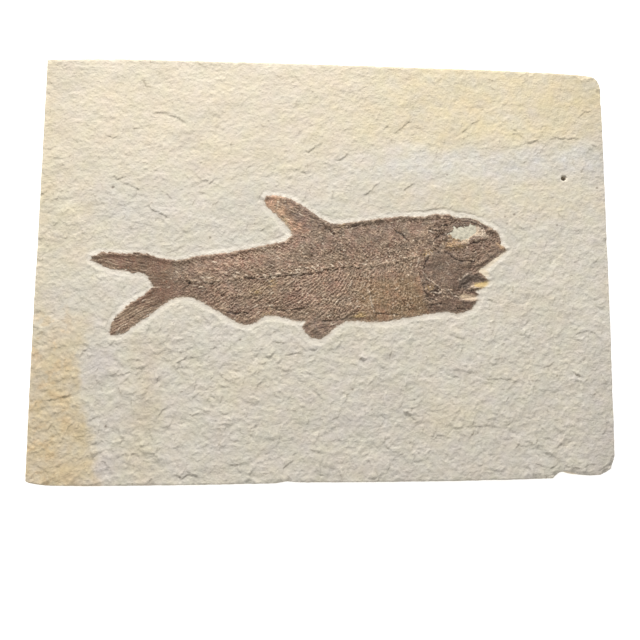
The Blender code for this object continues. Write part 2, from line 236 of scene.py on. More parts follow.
# Small scarps in the split face, each a route across it as x, y, x, y and so on. The stone steps down on
# their -Y side.
LEDGES = [
    (-5.9, 32.2, -5.1, 31.4, -3.3, 32.7, -1.3, 34.1), (-1.6, 35.2, -1.0, 36.0),
    (-31.4, 21.9, -30.4, 22.9, -28.9, 24.3), (-34.4, 24.2, -32.7, 23.2, -30.9, 23.0),
    (-33.7, 20.2, -32.9, 19.6, -31.8, 19.8), (-25.4, 23.5, -23.7, 24.8), (-36.1, 21.3, -34.7, 22.1),
    (-43.6, 20.5, -41.8, 19.1, -40.3, 17.7),
    (-46.7, 40.2, -45.5, 41.2, -44.0, 41.4, -42.2, 40.9, -39.5, 40.0, -37.2, 38.6),
    (-35.5, 37.8, -34.7, 38.3), (-57.8, 34.6, -56.0, 34.0, -54.6, 34.7), (-48.4, 26.2, -46.7, 25.5),
    (-57.0, 23.4, -55.5, 23.7, -54.8, 22.9, -53.6, 23.7, -51.6, 23.1),
    (-53.6, 22.2, -51.5, 21.5, -48.7, 20.2), (-66.0, 33.4, -64.9, 32.4), (-73.2, 28.7, -69.7, 28.0),
    (-67.8, 11.3, -67.0, 10.0), (-10.7, 45.6, -9.7, 46.5), (-17.6, 9.6, -16.3, 10.9),
    (-8.8, 26.5, -7.2, 26.8, -5.4, 25.2), (-47.0, 16.5, -45.5, 14.9, -43.1, 13.9, -41.3, 12.9),
    (1.2, 37.1, 2.1, 36.4), (1.6, 29.7, 3.4, 29.5, 6.1, 31.7), (14.8, 37.8, 16.7, 39.5),
    (18.0, 36.8, 19.3, 38.3, 21.4, 40.0, 22.7, 40.7), (22.3, 36.6, 24.2, 37.7),
    (9.5, 19.9, 10.9, 20.7, 12.7, 22.6, 14.0, 23.4), (20.0, 21.4, 21.9, 22.8, 23.5, 23.4),
    (36.2, 37.8, 38.2, 39.5), (38.7, 40.3, 41.5, 41.3), (50.1, 39.3, 51.3, 38.8, 53.0, 37.1, 53.7, 36.5),
    (53.8, 35.7, 55.4, 35.5, 57.4, 36.4), (55.7, 37.4, 56.9, 38.0), (56.9, 39.4, 58.6, 40.2, 60.5, 40.0),
    (60.4, 36.7, 62.4, 37.3, 64.0, 36.8, 69.1, 37.2), (68.4, 42.9, 70.4, 44.3, 72.7, 45.2),
    (72.1, 35.4, 74.0, 34.8), (59.7, 20.6, 61.6, 20.6), (-30.4, -21.1, -29.4, -21.1, -28.4, -20.2),
    (-38.9, -25.1, -37.4, -24.0, -36.0, -23.2, -34.3, -23.6, -32.5, -23.2),
    (-43.8, -30.6, -43.4, -28.9, -42.5, -28.3), (-43.4, -39.1, -42.0, -37.0, -40.4, -35.7),
    (-34.8, -34.2, -32.7, -32.2), (-28.1, -27.1, -26.8, -28.6, -25.1, -29.5),
    (-18.9, -32.9, -18.2, -30.9, -17.2, -29.7, -15.6, -29.2), (-29.3, -32.5, -28.0, -33.8, -27.0, -35.1),
    (-66.3, -42.9, -65.2, -41.2, -63.8, -39.7), (-63.1, -23.7, -62.2, -22.2, -61.0, -21.4),
    (-72.7, -34.8, -69.4, -34.4, -66.6, -33.6, -64.7, -33.2), (-52.9, -28.0, -51.7, -27.9, -50.2, -26.7),
    (-59.3, -30.9, -57.8, -29.6), (-54.6, -36.2, -52.2, -35.9), (-52.3, -48.4, -49.7, -48.2, -47.6, -47.5),
    (-59.8, -47.5, -58.5, -48.7), (-57.3, -49.7, -55.5, -50.0), (-44.7, -42.7, -44.3, -41.5),
    (-22.6, -42.2, -21.3, -43.2), (-19.8, -41.9, -18.0, -40.4), (-11.7, -52.0, -10.2, -50.5, -8.5, -49.5),
    (-38.8, -53.0, -36.8, -54.0, -34.8, -53.0, -32.5, -53.7), (-72.1, -46.7, -71.2, -46.7, -70.0, -45.4),
    (-4.4, -21.1, -2.7, -21.2), (-11.3, -22.9, -9.4, -22.3, -7.4, -22.1, -5.4, -22.9),
    (42.2, -7.8, 43.2, -7.6, 44.5, -8.2), (47.2, -9.5, 48.2, -9.2), (52.1, -14.5, 53.3, -13.1, 54.9, -12.8),
    (65.5, -17.0, 67.1, -15.9, 70.0, -15.7, 72.1, -16.6), (56.4, -25.6, 58.6, -25.0, 60.4, -23.4),
    (60.6, -21.0, 62.2, -20.7), (41.7, -28.6, 45.1, -28.4, 47.9, -28.6, 50.7, -29.0),
    (32.4, -27.9, 34.1, -27.9, 35.0, -28.4), (13.8, -37.7, 15.3, -39.5),
    (21.6, -38.2, 23.0, -39.5, 23.8, -40.4), (36.9, -41.3, 38.2, -40.8, 41.7, -40.7, 44.8, -41.0),
    (26.5, -43.6, 28.0, -43.2, 30.0, -43.2, 32.0, -44.1), (46.1, -44.4, 48.7, -43.8),
    (53.7, -50.3, 56.2, -51.1, 58.3, -51.6, 59.6, -51.1, 60.9, -50.0),
    (61.9, -50.6, 63.9, -51.6, 66.4, -51.6, 69.0, -50.6, 71.1, -50.6),
]
LEDGE_DROP = 0.16
LEDGE_FADE = 1.6
CHIP_ROUTE = (59.5, -53.0, 64.0, -52.2, 68.5, -52.5, 71.4, -52.0, 73.2, -50.9, 75.2, -49.6)

SPECKS = [
    (73.3, 23.4, 0.35), (50.2, 15.5, 0.35), (47.7, 14.9, 0.3), (48.2, 13.0, 0.25), (56.2, 14.5, 0.25),
    (61.9, 12.9, 0.25), (32.2, 26.1, 0.25), (-30.6, 7.8, 0.3), (-22.5, -18.8, 0.3), (-56.1, -41.1, 0.35),
    (6.5, -31.4, 0.3), (11.6, -36.5, 0.25), (60.7, -27.6, 0.3), (-55.9, 20.8, 0.4),
]
HOLE = (64.2, 25.9)
HOLE_RADIUS = 0.62
HOLE_DEPTH = 1.5


def srgb(red, green, blue):
    """A colour from its usual 0 to 255 values, as linear light."""
    values = np.array([red, green, blue]) / 255
    return np.where(values <= 0.04045, values / 12.92, ((values + 0.055) / 1.055) ** 2.4)


def blend(first, second, share):
    """Mixes colours or heights by a share at each place."""
    share = np.asarray(share, float)
    if np.ndim(first) > np.ndim(share) or np.ndim(second) > np.ndim(share):
        share = share[..., None]
    return first * (1 - share) + second * share


def layered(colour, *layers):
    """A colour with others blended over it in turn, each given as a colour and its share."""
    for over, share in layers:
        colour = blend(colour, over, share)
    return colour


def shaded(colour, factor):
    """A colour made darker or lighter by a factor at each place."""
    return colour * factor[..., None]


def tinged(colour, amount, weights):
    """A colour whose red, green and blue rise or fall with an amount at each place."""
    return colour * (1 + amount[..., None] * np.array(weights))


def spread(colour, shape):
    """One colour at every place."""
    return np.broadcast_to(colour, (*shape, 3))


def bell(values, width):
    """1 where the values are 0, falling off on both sides over about a width."""
    return np.exp(-((values / width) ** 2))


def ramp(values, low, high):
    """0 below low and 1 above high, with a soft step between."""
    return soft_step((values - low) / (high - low))


def blob(x, y, centre, radii, turn=0.0, edge=0.35):
    """1 inside a turned ellipse and 0 outside, with a soft rim."""
    angle = math.radians(turn)
    along = (x - centre[0]) * math.cos(angle) + (y - centre[1]) * math.sin(angle)
    across = (y - centre[1]) * math.cos(angle) - (x - centre[0]) * math.sin(angle)
    return ramp(-np.hypot(along / radii[0], across / radii[1]), -1 - edge, -1 + edge)


def route_gap(raster, route, reach):
    """Slices round a route and, inside them, the gap to it, the side of it and how far from its ends."""
    points = np.reshape(route, (-1, 2))
    middle, half = (points.max(0) + points.min(0)) / 2, np.ptp(points, axis=0).max() / 2
    rows, columns = raster.window(middle, half + reach)
    x, y = raster.x[rows, columns], raster.y[rows, columns]
    gap = np.full(x.shape, 1e3)
    side = np.zeros(x.shape)
    travel = np.zeros(x.shape)
    lengths = np.linalg.norm(np.diff(points, axis=0), axis=1)
    before = 0.0
    for start, end, length in zip(points, points[1:], lengths):
        along = (end - start) / length
        u = (x - start[0]) * along[0] + (y - start[1]) * along[1]
        v = (y - start[1]) * along[0] - (x - start[0]) * along[1]
        beyond = u - np.clip(u, 0, length)
        here = np.hypot(beyond, v)
        nearer = here < gap
        gap = np.where(nearer, here, gap)
        side = np.where(nearer, v, side)
        travel = np.where(nearer, before + np.clip(u, 0, length), travel)
        before += length
    return (rows, columns), gap, side, np.minimum(travel, before - travel)


def stroke(raster, route, width):
    """A soft line along a route, 1 on it, thinning at both ends."""
    line = np.zeros(raster.x.shape)
    place, gap, _, from_end = route_gap(raster, route, 3 * width)
    line[place] = np.exp(-((gap / width) ** 2)) * ramp(from_end, -0.3, 0.5)
    return line


# ---------------------------------------------------------------- the split limestone face


def scarps(raster, random, count, sizes, drops):
    """Many shell-shaped scars, sharp on one side and fading on the other, and the painted shade line at the
    foot of each.
    """
    relief = np.zeros(raster.x.shape)
    foot_shade = np.zeros(raster.x.shape)
    bent_x = raster.x + 0.5 * fractal(raster.x, raster.y, 1.7, 313, 3, 0.6)
    bent_y = raster.y + 0.5 * fractal(raster.x, raster.y, 1.7, 317, 3, 0.6)
    low, high = raster.low, [raster.x.max(), raster.y.max()]
    for _ in range(count):
        centre = random.uniform(low, high)
        size = random.uniform(*sizes)
        drop = random.uniform(*drops) * random.choice([1.0, 1.0, -0.8])
        heading = random.normal(-80, 80)
        bend = random.uniform(0.15, 0.9) / size
        rows, columns = raster.window(centre, size * 1.1)
        x, y = bent_x[rows, columns] - centre[0], bent_y[rows, columns] - centre[1]
        if x.size == 0:
            continue
        ahead = math.radians(heading)
        v = x * math.cos(ahead) + y * math.sin(ahead)
        u = y * math.cos(ahead) - x * math.sin(ahead)
        v = v + bend * u * u - 0.15 * size
        wide = np.clip(1 - (u / (0.62 * size)) ** 2, 0, 1) ** 1.5
        behind = np.exp(np.minimum(v, 0) * 3.6 / size)
        far = np.clip(1 - np.hypot(x, y) / size / 1.05, 0, 1) ** 0.5
        relief[rows, columns] += drop * wide * behind * far * ramp(-v, -0.06, 0.06)
        foot = np.exp(-(((v - 0.04) / 0.1) ** 2)) * wide * max(drop, 0) * 8
        foot_shade[rows, columns] = np.maximum(foot_shade[rows, columns], foot)
    return relief, foot_shade


def ledges(raster):
    """The larger scarps, each at its own route, and the painted shade line at the foot of each."""
    relief = np.zeros(raster.x.shape)
    shade = np.zeros(raster.x.shape)
    wander = 0.34 * fractal(raster.x, raster.y, 1.4, 301, 4, 0.6)
    broken = np.clip(0.7 + 1.6 * fractal(raster.x, raster.y, 1.6, 307, 2), 0, 1)
    for k, route in enumerate(LEDGES):
        place, gap, side, from_end = route_gap(raster, route, 4.5)
        side = side + wander[place]
        drop = LEDGE_DROP * (0.6 + 0.8 * lattice(k, 3, 7)) * np.clip(0.35 + broken[place], 0, 1)
        ends = ramp(from_end, -0.2, 0.9) * np.exp(-np.maximum(gap - np.abs(side), 0) / 0.5)
        below = np.where(side < 0, np.exp(side / LEDGE_FADE), 0)
        above = np.where(side >= 0, np.exp(-side / (0.7 * LEDGE_FADE)), 0)
        step = ramp(side, -0.07, 0.07)
        relief[place] += drop * ends * (0.55 * above * step - 0.75 * below * (1 - step))
        foot = np.exp(-(((side + 0.05) / 0.1) ** 2)) * ends * broken[place]
        shade[place] = np.maximum(shade[place], foot)
    return relief, shade


def chips_on_edge(raster, random, rim):
    """Small bites out of the slab's top edges."""
    relief = np.zeros(raster.x.shape)
    for _ in range(EDGE_CHIPS):
        centre = rim[random.integers(len(rim))] + random.normal(0, 0.25, 2)
        size = random.uniform(0.4, 1.4)
        depth = random.uniform(0.08, 0.3)
        rows, columns = raster.window(centre, size * 1.5)
        x, y = raster.x[rows, columns] - centre[0], raster.y[rows, columns] - centre[1]
        if x.size == 0:
            continue
        turn = random.uniform(0, math.pi)
        u, v = x * math.cos(turn) + y * math.sin(turn), y * math.cos(turn) - x * math.sin(turn)
        bowl = np.clip(1 - (u / size) ** 2 - (v / size / 0.7) ** 2, 0, 1)
        relief[rows, columns] = np.minimum(relief[rows, columns], -depth * np.sqrt(bowl))
    return relief


stone = Raster((-77.5, -58.0), (77.5, 58.0), RASTER_CELL)
random = np.random.default_rng(41)

outside_fish = signed_distance(stone, fish_ring, 9.0)
outside_orbit = signed_distance(stone, orbit_ring, 9.0)
outside_slab = signed_distance(stone, slab_ring, 6.0)

x, y = stone.x, stone.y
noise = partial(fractal, x, y)
bend_x = x + 0.9 * noise(6.0, 71, 2)
bend_y = y + 0.9 * noise(6.0, 83, 2)
swell = 0.3 * noise(38.0, 5, 2)
medium = 0.2 * fractal(bend_x, bend_y, 10.0, 13, 2)
ripple = 0.085 * fractal(bend_x, bend_y, 2.1, 29, 4, 0.64)
ridged = 0.05 * (0.35 - np.abs(fractal(bend_x * 0.8 + bend_y * 0.3, bend_y, 1.9, 47, 2)))
# The laminae break off along crisp, wandering steps.
layers = fractal(bend_x + 0.3 * bend_y, 1.3 * bend_y, 8.0, 61, 6, 0.62) / 0.2
risers = np.floor(layers) + ramp(layers - np.floor(layers), 0.44, 0.56) - layers
risers = 0.1 * risers * np.clip(0.5 + 1.4 * noise(5.0, 67, 2), 0, 1)
small, small_foot_shade = scarps(stone, random, *SMALL_SCARS)
large, large_foot_shade = scarps(stone, random, *LARGE_SCARS)
hackly = ripple + ridged + risers + small + large * (0.95 + 0.3 * ramp(-y, 0, 30))
rougher = 0.7 + 0.8 * ramp(-y, -45, 30) + 0.45 * noise(14.0, 53, 2)
hackly *= rougher
# Painted shade lines at the foot of the scars, broken up by noise.
foot_shade = np.maximum(small_foot_shade, large_foot_shade) * np.clip(0.4 + 1.5 * noise(2.0, 69, 2), 0, 1)
route_relief, route_shade = ledges(stone)
split_face = SLAB_TOP + swell + medium + hackly + route_relief

place, gap, side, from_end = route_gap(stone, CHIP_ROUTE, 7.0)
chip_side = side + 0.25 * fractal(x[place], y[place], 1.6, 311, 2)
broken = ramp(-chip_side, -0.15, 0.25) * (gap < 6.5)
split_face[place] -= broken * (0.2 + 0.08 * np.clip(-chip_side, 0, 4))

depth_in = -outside_slab + 0.18 * noise(2.2, 331, 3)
rounding = np.clip(1 - depth_in / EDGE_WIDTH, 0, 1)
split_face -= EDGE_DROP * rounding**2
spans = np.roll(slab_ring, -1, axis=0) - slab_ring
shares = np.tile(np.arange(EDGE_STEPS) / EDGE_STEPS, len(slab_ring))[:, None]
rim = slab_ring.repeat(EDGE_STEPS, axis=0) + spans.repeat(EDGE_STEPS, axis=0) * shares
split_face += chips_on_edge(stone, random, rim)

speck_shade = np.zeros(x.shape)
for speck_x, speck_y, radius in SPECKS:
    place = stone.window((speck_x, speck_y), 1.6)
    away = np.hypot(x[place] - speck_x, (y[place] - speck_y) * 1.25)
    away = away + 0.12 * fractal(x[place], y[place], 0.5, 401, 2)
    speck_shade[place] = np.maximum(speck_shade[place], np.exp(-((away / radius) ** 4)))
    split_face[place] -= 0.08 * np.exp(-((away / radius) ** 2))

# The scraped recess: a shallow, nearly flat floor inside a crisp, wandering wall.
width = RECESS_WIDTH + 0.5 * noise(7.0, 503, 2) + 0.3 * noise(1.9, 509, 3)
on_upper_side = ramp(np.gradient(blurred(outside_fish, 4), stone.cell, axis=0), -0.1, 0.7)
over_head = ramp(x, 21, 25) * ramp(-x, -43, -38)
in_recess = ramp((width - outside_fish) / (1 + 2 * on_upper_side * (1 - over_head)), -0.04, 0.14)
dip = RECESS_DEPTH - 0.2 * np.clip(outside_fish / width, 0, 1) ** 1.5 + 0.12 * noise(5.0, 511, 2)
dip = dip * (1 - 0.78 * on_upper_side)
dip = blend(dip, 0.2, ramp(-outside_fish, 0.0, 1.4))
floor_level = blurred(SLAB_TOP + swell + medium + 0.4 * hackly, 8) - dip - 0.2 * ramp(-outside_fish, 0, 1.5)
floor_level += 0.4 * ramp(2.2 - outside_orbit, 0, 2.0)
floor_level += 0.03 * noise(3.0, 521, 2) + 0.02 * noise(0.9, 523, 2)
under_film = ramp(-outside_fish, 0.7, 1.7) * ramp(outside_orbit, 0.8, 1.8)
face = blend(split_face, np.minimum(floor_level - UNDER_FILM_DROP * under_film, split_face), in_recess)

place = stone.window(HOLE, 2.0)
away = np.hypot(x[place] - HOLE[0], y[place] - HOLE[1])
in_hole = ramp(HOLE_RADIUS + 0.08 - away, 0, 0.16)
face[place] = blend(face[place], SLAB_TOP - HOLE_DEPTH, in_hole)

face = blurred(face, 1)
hollow = face - blurred(face, 30)
hollow_fine = face - blurred(face, 5)


def stone_colour():
    """The limestone's tint at each place of the raster: cream, grey-blue, white and ochre zones, with painted
    shade and painted light over them.
    """
    yellow, ochre, mauve = srgb(222, 207, 174), srgb(214, 195, 160), srgb(205, 197, 184)
    patchy = noise(13.0, 601, 3)
    cloudy = noise(4.5, 607, 3)
    drifted = x + 3 * cloudy

    top_left = ramp(y + 3 * patchy, 14, 34) * ramp(-x, -30, 5)
    bound = 33.0 + 0.06 * (x - 20) + 2.0 * patchy
    bound = bound + 2.4 * noise(18.0, 609, 3) + 1.5 * cloudy
    top_right = ramp(y - bound, -4.5, 3.5) * ramp(x, -14, 34)
    streak = bell(y - bound + 6.5, 4.6) * ramp(x, -6, 22)
    left_bound = np.interp(y, [-55, -42, -33, -25, -12], [57.0, 60.3, 63.2, 62.4, 61.0])
    left_bound = left_bound + 2.6 * noise(7.0, 613, 4, 0.6)
    lower_left = ramp(-x - left_bound, -1.8, 2.2) * ramp(-y + 6 * patchy, 6, 32)
    orange = ramp(noise(4.0, 617, 4, 0.65), 0.08, 0.45) * ramp(-x, 61, 70) * ramp(-y, 0, 22)
    violet = np.maximum(
        blob(drifted, y + 3 * patchy, (-57.8, -26.5), (4.0, 5.5), -20, 0.6),
        blob(drifted, y, (-55.5, -51.0), (3.0, 4.0), -20, 0.6),
    )
    stripe = bell(x + 47 + 2.5 * patchy, 4.0) * ramp(-y, 12, 26)
    lower = ramp(-y + 5 * patchy, 15, 50) * ramp(x, -40, 10)
    colour = layered(
        spread(srgb(216, 208, 192), x.shape),
        (srgb(222, 210, 188), 0.85 * top_left),
        (yellow, np.clip(0.78 + 0.5 * cloudy, 0, 1) * top_right),
        (srgb(214, 210, 203), np.clip(0.45 + 0.8 * cloudy, 0, 0.8) * streak),
        (yellow, (0.35 + 0.35 * cloudy) * blob(x, y, (46, 20), (34, 6), 0, 0.5)),
        (yellow, 0.4 * blob(x + 5 * cloudy, y + 8 * patchy, (-67, 10), (7, 16), 0, 0.9)),
        (yellow, 0.4 * ramp(-x + 1.5 * cloudy, 68, 75) * ramp(y, -30, 0)),
        (ochre, np.clip(0.85 + 0.5 * cloudy, 0, 1) * lower_left),
        (srgb(216, 186, 142), 0.45 * orange),
        (srgb(209, 200, 191), 0.65 * violet),
        (ochre, 0.3 * stripe),
        (mauve, 0.8 * ramp(drifted, 64, 73) * ramp(-y + 4 * patchy, 15, 32)),
        (mauve, 0.25 * lower),
    )
    for kx, ky, size in ((-20, -30, 9), (30, -38, 8), (8, 44, 7), (-52, 44, 8), (52, -8, 6), (-30, 30, 7)):
        colour = blend(colour, yellow, 0.22 * blob(x + 4 * cloudy, y, (kx, ky), (size, size * 0.6), 20, 0.8))

    # Painted shade: the corners are a little darker, and the hollows are darker and the crests a little
    # lighter.
    corners = 0.07 * ramp(x, 50, 74) * ramp(y, 18, 46) + 0.06 * ramp(-x, 58, 73) * ramp(y, 30, 50)
    corners = corners + 0.04 * ramp(x, 66, 74) * ramp(y, -10, 20)
    grains = noise(0.8, 619, 3)
    colour = shaded(colour, 1 + 0.035 * patchy + 0.03 * cloudy - corners)
    colour = shaded(colour, 1 + (0.03 + 0.09 * lower_left) * grains)
    colour = tinged(colour, 0.6 * noise(3.2, 623, 4, 0.6) + 0.6 * noise(11.0, 627, 2), (0.015, 0.0, -0.075))
    colour = tinged(colour, noise(6.0, 629, 3), (0.02, -0.012, 0.012))
    colour = shaded(colour, 1 + np.clip(hollow * 0.5, -0.08, 0.05))
    colour = shaded(colour, 1 + np.clip(hollow_fine * 1.8, -0.14, 0.07))

    # The scraped stone is clean and pale, with painted light over it on the fish's upper side and a painted
    # shadow line at the recess's outer edge there.
    scraped = ramp(width + 0.3 - outside_fish, 0, 1.2) * np.clip(0.95 + 0.5 * noise(9.0, 633, 2), 0.6, 1)
    scraped = scraped * (1 - 0.55 * blob(x, y, (38.5, -12.0), (9, 3.5), 5, 0.5))
    pale = shaded(srgb(237, 229, 214), 0.895 + 0.03 * grains + 0.05 * cloudy + 0.235 * on_upper_side)
    line_here = np.clip(0.48 * ramp(noise(5.0, 517, 3), 0.0, 0.4) + 0.9 * over_head, 0, 1)
    brink_shadow = 0.74 * (bell(outside_fish - width + 0.02, 0.15) * line_here) * on_upper_side
    # Dust of the bone lies along the fish's edge, mostly on its lower side.
    dust = np.exp(-np.maximum(outside_fish - 0.25 * noise(1.2, 639, 3, 0.7), 0) / 0.42)
    dust = dust * np.clip(0.35 + 0.3 * (1 - on_upper_side) + 0.9 * noise(1.1, 641, 3, 0.7), 0, 0.9)
    orbit_tint = shaded(srgb(210, 203, 182), 1 + 0.3 * noise(0.9, 643, 3, 0.7) + 0.1 * cloudy)
    colour = layered(
        colour,
        # Painted shade lines at the foot of the scars and along the ledges.
        (srgb(142, 128, 106), 0.6 * ramp(foot_shade, 0.25, 0.85) * (1 - in_recess)),
        (srgb(92, 80, 62), 0.66 * route_shade * (1 - in_recess)),
        (srgb(110, 92, 74), 0.75 * speck_shade),
        # Painted shade inside the bored hole.
        (srgb(128, 114, 94), 0.7 * ramp(HOLE_RADIUS + 0.05 - np.hypot(x - HOLE[0], y - HOLE[1]), 0, 0.2)),
        (pale, 0.9 * scraped),
        # Painted shadow line at the recess's outer edge on the fish's upper side.
        (srgb(124, 112, 94), brink_shadow),
        (srgb(164, 142, 120), dust),
        (orbit_tint, ramp(2.4 - outside_orbit, 0, 0.8)),
    )
    # Stone that shows between the jaws, at the snout and under the throat.
    for over, share, *spot in (
        (shaded(srgb(214, 184, 122), 1 + 0.12 * grains), 0.85, (40.3, -3.6), (2.7, 1.1), 15, 0.3),
        (srgb(222, 203, 172), 0.7, (41.6, -0.2), (1.6, 0.9), -35, 0.5),
        (srgb(214, 190, 160), 0.75, (37.0, -7.0), (3.0, 0.9), -10, 0.4),
        (srgb(226, 204, 170), 0.6, (46.9, 6.4), (1.2, 0.6), -45, 0.5),
        (srgb(230, 214, 188), 0.7, (44.4, 2.7), (3.4, 0.5), 40, 0.5),
    ):
        colour = blend(colour, over, share * blob(x, y, *spot))
    return np.clip(colour, 0, 0.95)


stone_tint = stone_colour()

# ---------------------------------------------------------------- the fossil herring

JAW_LENS = np.array([
    (34.6, -4.6), (34.6, -2.4), (37.4, -0.8), (39.5, -0.6), (41.5, -1.6),
    (42.9, -2.4), (40.6, -2.5), (38.8, -3.1), (37.7, -4.0), (37.4, -4.8),
])
JAW_WEDGE = np.array([(37.9, -4.1), (39.2, -3.1), (42.8, -2.5), (42.5, -3.7), (41.2, -4.4), (39.0, -4.6)])
BACKBONE = np.array([
    (-36.0, -3.4), (-31.8, -4.1), (-20.0, -2.6), (-7.0, -1.4), (3.3, 0.6), (15.0, 1.3), (24.5, 4.0),
])
VERTEBRA_PITCH = 2.15
TAIL_ROOT = (-31.0, -3.8)
DORSAL_TURN = math.radians(150)
PELVIC_ROOT = (4.0, -13.4)
ORBIT_CENTRE = (36.5, 9.5)

# Creases and bright ridges of the bones, each a width and then a route: the dark creases are partly painted
# shade, the bright ridges partly painted highlight.
DARK_STROKES = [
    (0.26, 27.1, -7.8, 26.3, -7.0, 25.6, -5.2, 24.8, -2.3, 24.5, -0.7),
    (0.28, 25.4, -0.1, 25.9, 1.2, 26.2, 2.8, 27.3, 3.9),
    (0.22, 30.8, 5.1, 32.1, 4.3, 33.7, 3.2, 35.6, 2.4, 37.7, 2.5, 39.6, 2.8),
    (0.34, 41.7, -2.4, 40.1, -2.2, 37.9, -2.5, 36.0, -3.6, 34.9, -4.7),
    (0.22, 41.2, -4.5, 39.4, -4.9, 37.6, -5.1), (0.25, 40.0, -6.3, 38.9, -5.6, 37.8, -5.3),
    (0.26, 34.4, 12.2, 35.5, 12.7, 36.3, 13.6), (0.25, 32.0, 12.4, 30.1, 11.8, 28.5, 12.0),
    (0.24, 32.8, 14.7, 34.7, 14.2, 36.9, 14.4, 38.6, 13.9, 40.9, 12.7, 42.8, 11.6),
    (0.22, 34.9, 12.8, 36.3, 13.3, 37.8, 13.5, 39.4, 12.9, 40.9, 12.4),
    (0.26, 40.3, 12.3, 42.0, 11.6, 42.8, 12.0), (0.26, 33.0, 10.2, 31.7, 9.9, 30.0, 9.4, 28.4, 8.3),
    (0.28, 32.2, 8.3, 30.8, 8.2), (0.22, 39.2, 6.6, 39.4, 5.7, 38.6, 5.2),
    (0.24, 47.8, 5.9, 45.6, 4.8, 43.4, 3.4, 41.8, 2.0, 40.1, 0.6),
    (0.24, 27.1, -9.2, 29.0, -9.1, 30.6, -8.6), (0.24, 27.1, -5.4, 29.0, -5.4, 29.8, -5.7),
    (0.22, 34.3, -6.7, 35.9, -6.9, 37.8, -6.6), (0.22, 38.1, 7.3, 40.0, 7.9, 41.6, 8.5),
    (0.24, 25.8, -6.8, 26.6, -7.6, 27.6, -7.8), (0.22, 28.9, 5.0, 30.2, 4.5),
    (0.22, 26.8, 11.2, 28.5, 10.7, 30.3, 10.7), (0.2, 34.0, -9.9, 36.1, -10.1, 38.0, -9.8),
    (0.18, -13.6, -10.7, -11.0, -11.1, -8.7, -10.9, -6.3, -10.4), (0.16, -8.4, -13.4, -5.8, -13.4),
    (0.22, -2.4, -13.7, 0.2, -13.8, 2.8, -13.4, 5.2, -13.1, 7.5, -12.4),
    (0.18, 12.5, -11.7, 15.9, -11.7, 18.8, -11.8), (0.28, -21.2, -2.8, -20.1, -2.9, -19.6, -2.4),
    (0.24, -32.0, -4.1, -30.7, -4.1), (0.22, 20.4, -12.7, 21.7, -12.4),
    (0.22, -26.2, -11.6, -24.2, -12.1, -22.1, -11.8, -20.1, -11.8),
    (0.24, -50.7, -13.7, -48.7, -12.4, -46.7, -11.1, -44.4, -10.0),
    (0.2, -51.6, 1.4, -49.5, 0.9, -46.9, 0.6), (0.2, -37.1, -6.0, -36.4, -5.0, -35.3, -3.9),
    (0.24, -0.6, 11.2, 0.7, 10.2, 2.3, 8.9), (0.2, 4.7, 10.8, 6.8, 11.6, 8.2, 11.7),
    (0.2, 17.7, 10.8, 19.3, 9.7, 20.9, 8.1),
]
LIGHT_STROKES = [
    (0.34, 34.4, -3.0, 35.4, -2.3, 36.4, -1.4, 37.5, -0.6, 38.6, -0.2),
    (0.2, 47.5, 5.2, 45.9, 3.9, 44.3, 2.5, 42.7, 1.3, 41.3, 0.5),
    (0.2, 25.1, -0.5, 26.1, -1.7, 27.2, -2.8, 28.8, -3.8, 29.8, -4.6),
    (0.24, 31.2, -4.9, 32.2, -5.4, 33.3, -6.4, 34.6, -7.2, 35.9, -7.6),
    (0.24, 27.9, -5.7, 29.3, -6.2, 30.1, -5.9), (0.26, 23.5, 0.7, 23.8, 1.7, 24.3, 3.6),
    (0.24, 25.9, 3.4, 27.0, 4.2), (0.18, 31.5, 2.4, 32.1, 1.3), (0.24, 31.5, -1.1, 32.6, -0.6),
    (0.2, 39.7, 4.7, 39.4, 5.7), (0.24, 26.8, 10.9, 28.7, 9.9),
    (0.16, 35.8, 13.8, 37.7, 13.9, 39.6, 13.2, 41.4, 12.2), (0.22, 28.1, 3.9, 27.0, 5.3),
    (0.22, 10.7, -4.9, 11.0, -6.4, 11.5, -8.6, 12.0, -10.4, 12.3, -11.7),
    (0.2, 5.7, -7.3, 6.2, -9.2, 7.0, -10.2), (0.2, 9.1, -6.7, 9.9, -8.0), (0.24, -1.1, -7.9, 0.2, -8.4),
    (0.2, 6.5, -2.8, 5.7, -4.9), (0.2, 11.5, -0.9, 10.2, -2.7, 9.4, -4.6), (0.2, 21.4, 0.6, 22.5, 2.2),
    (0.22, -5.8, -8.2, -5.0, -6.4, -4.3, -5.3), (0.22, 2.0, -9.2, 2.8, -8.1), (0.2, 17.0, -8.8, 17.5, -9.5),
    (0.18, -54.4, -17.6, -53.6, -16.6, -52.9, -15.8, -51.4, -14.8), (0.2, -48.0, -9.5, -46.5, -8.5),
    (0.24, 17.6, -5.6, 18.7, -4.8), (0.3, -15.5, -3.4, -14.4, -4.7),
    (0.18, -12.3, -5.7, -10.3, -4.4, -8.4, -3.0), (0.2, -13.4, 3.3, -11.1, 1.7, -9.8, -0.1),
]

bone = Raster((-63.0, -21.0), (50.0, 22.0), RASTER_CELL)


def lines(values, pitch, sharpness=3.0):
    """Ridges from 0 to 1, one for every pitch of the values."""
    return (0.5 + 0.5 * np.cos(values * (2 * math.pi / pitch))) ** sharpness


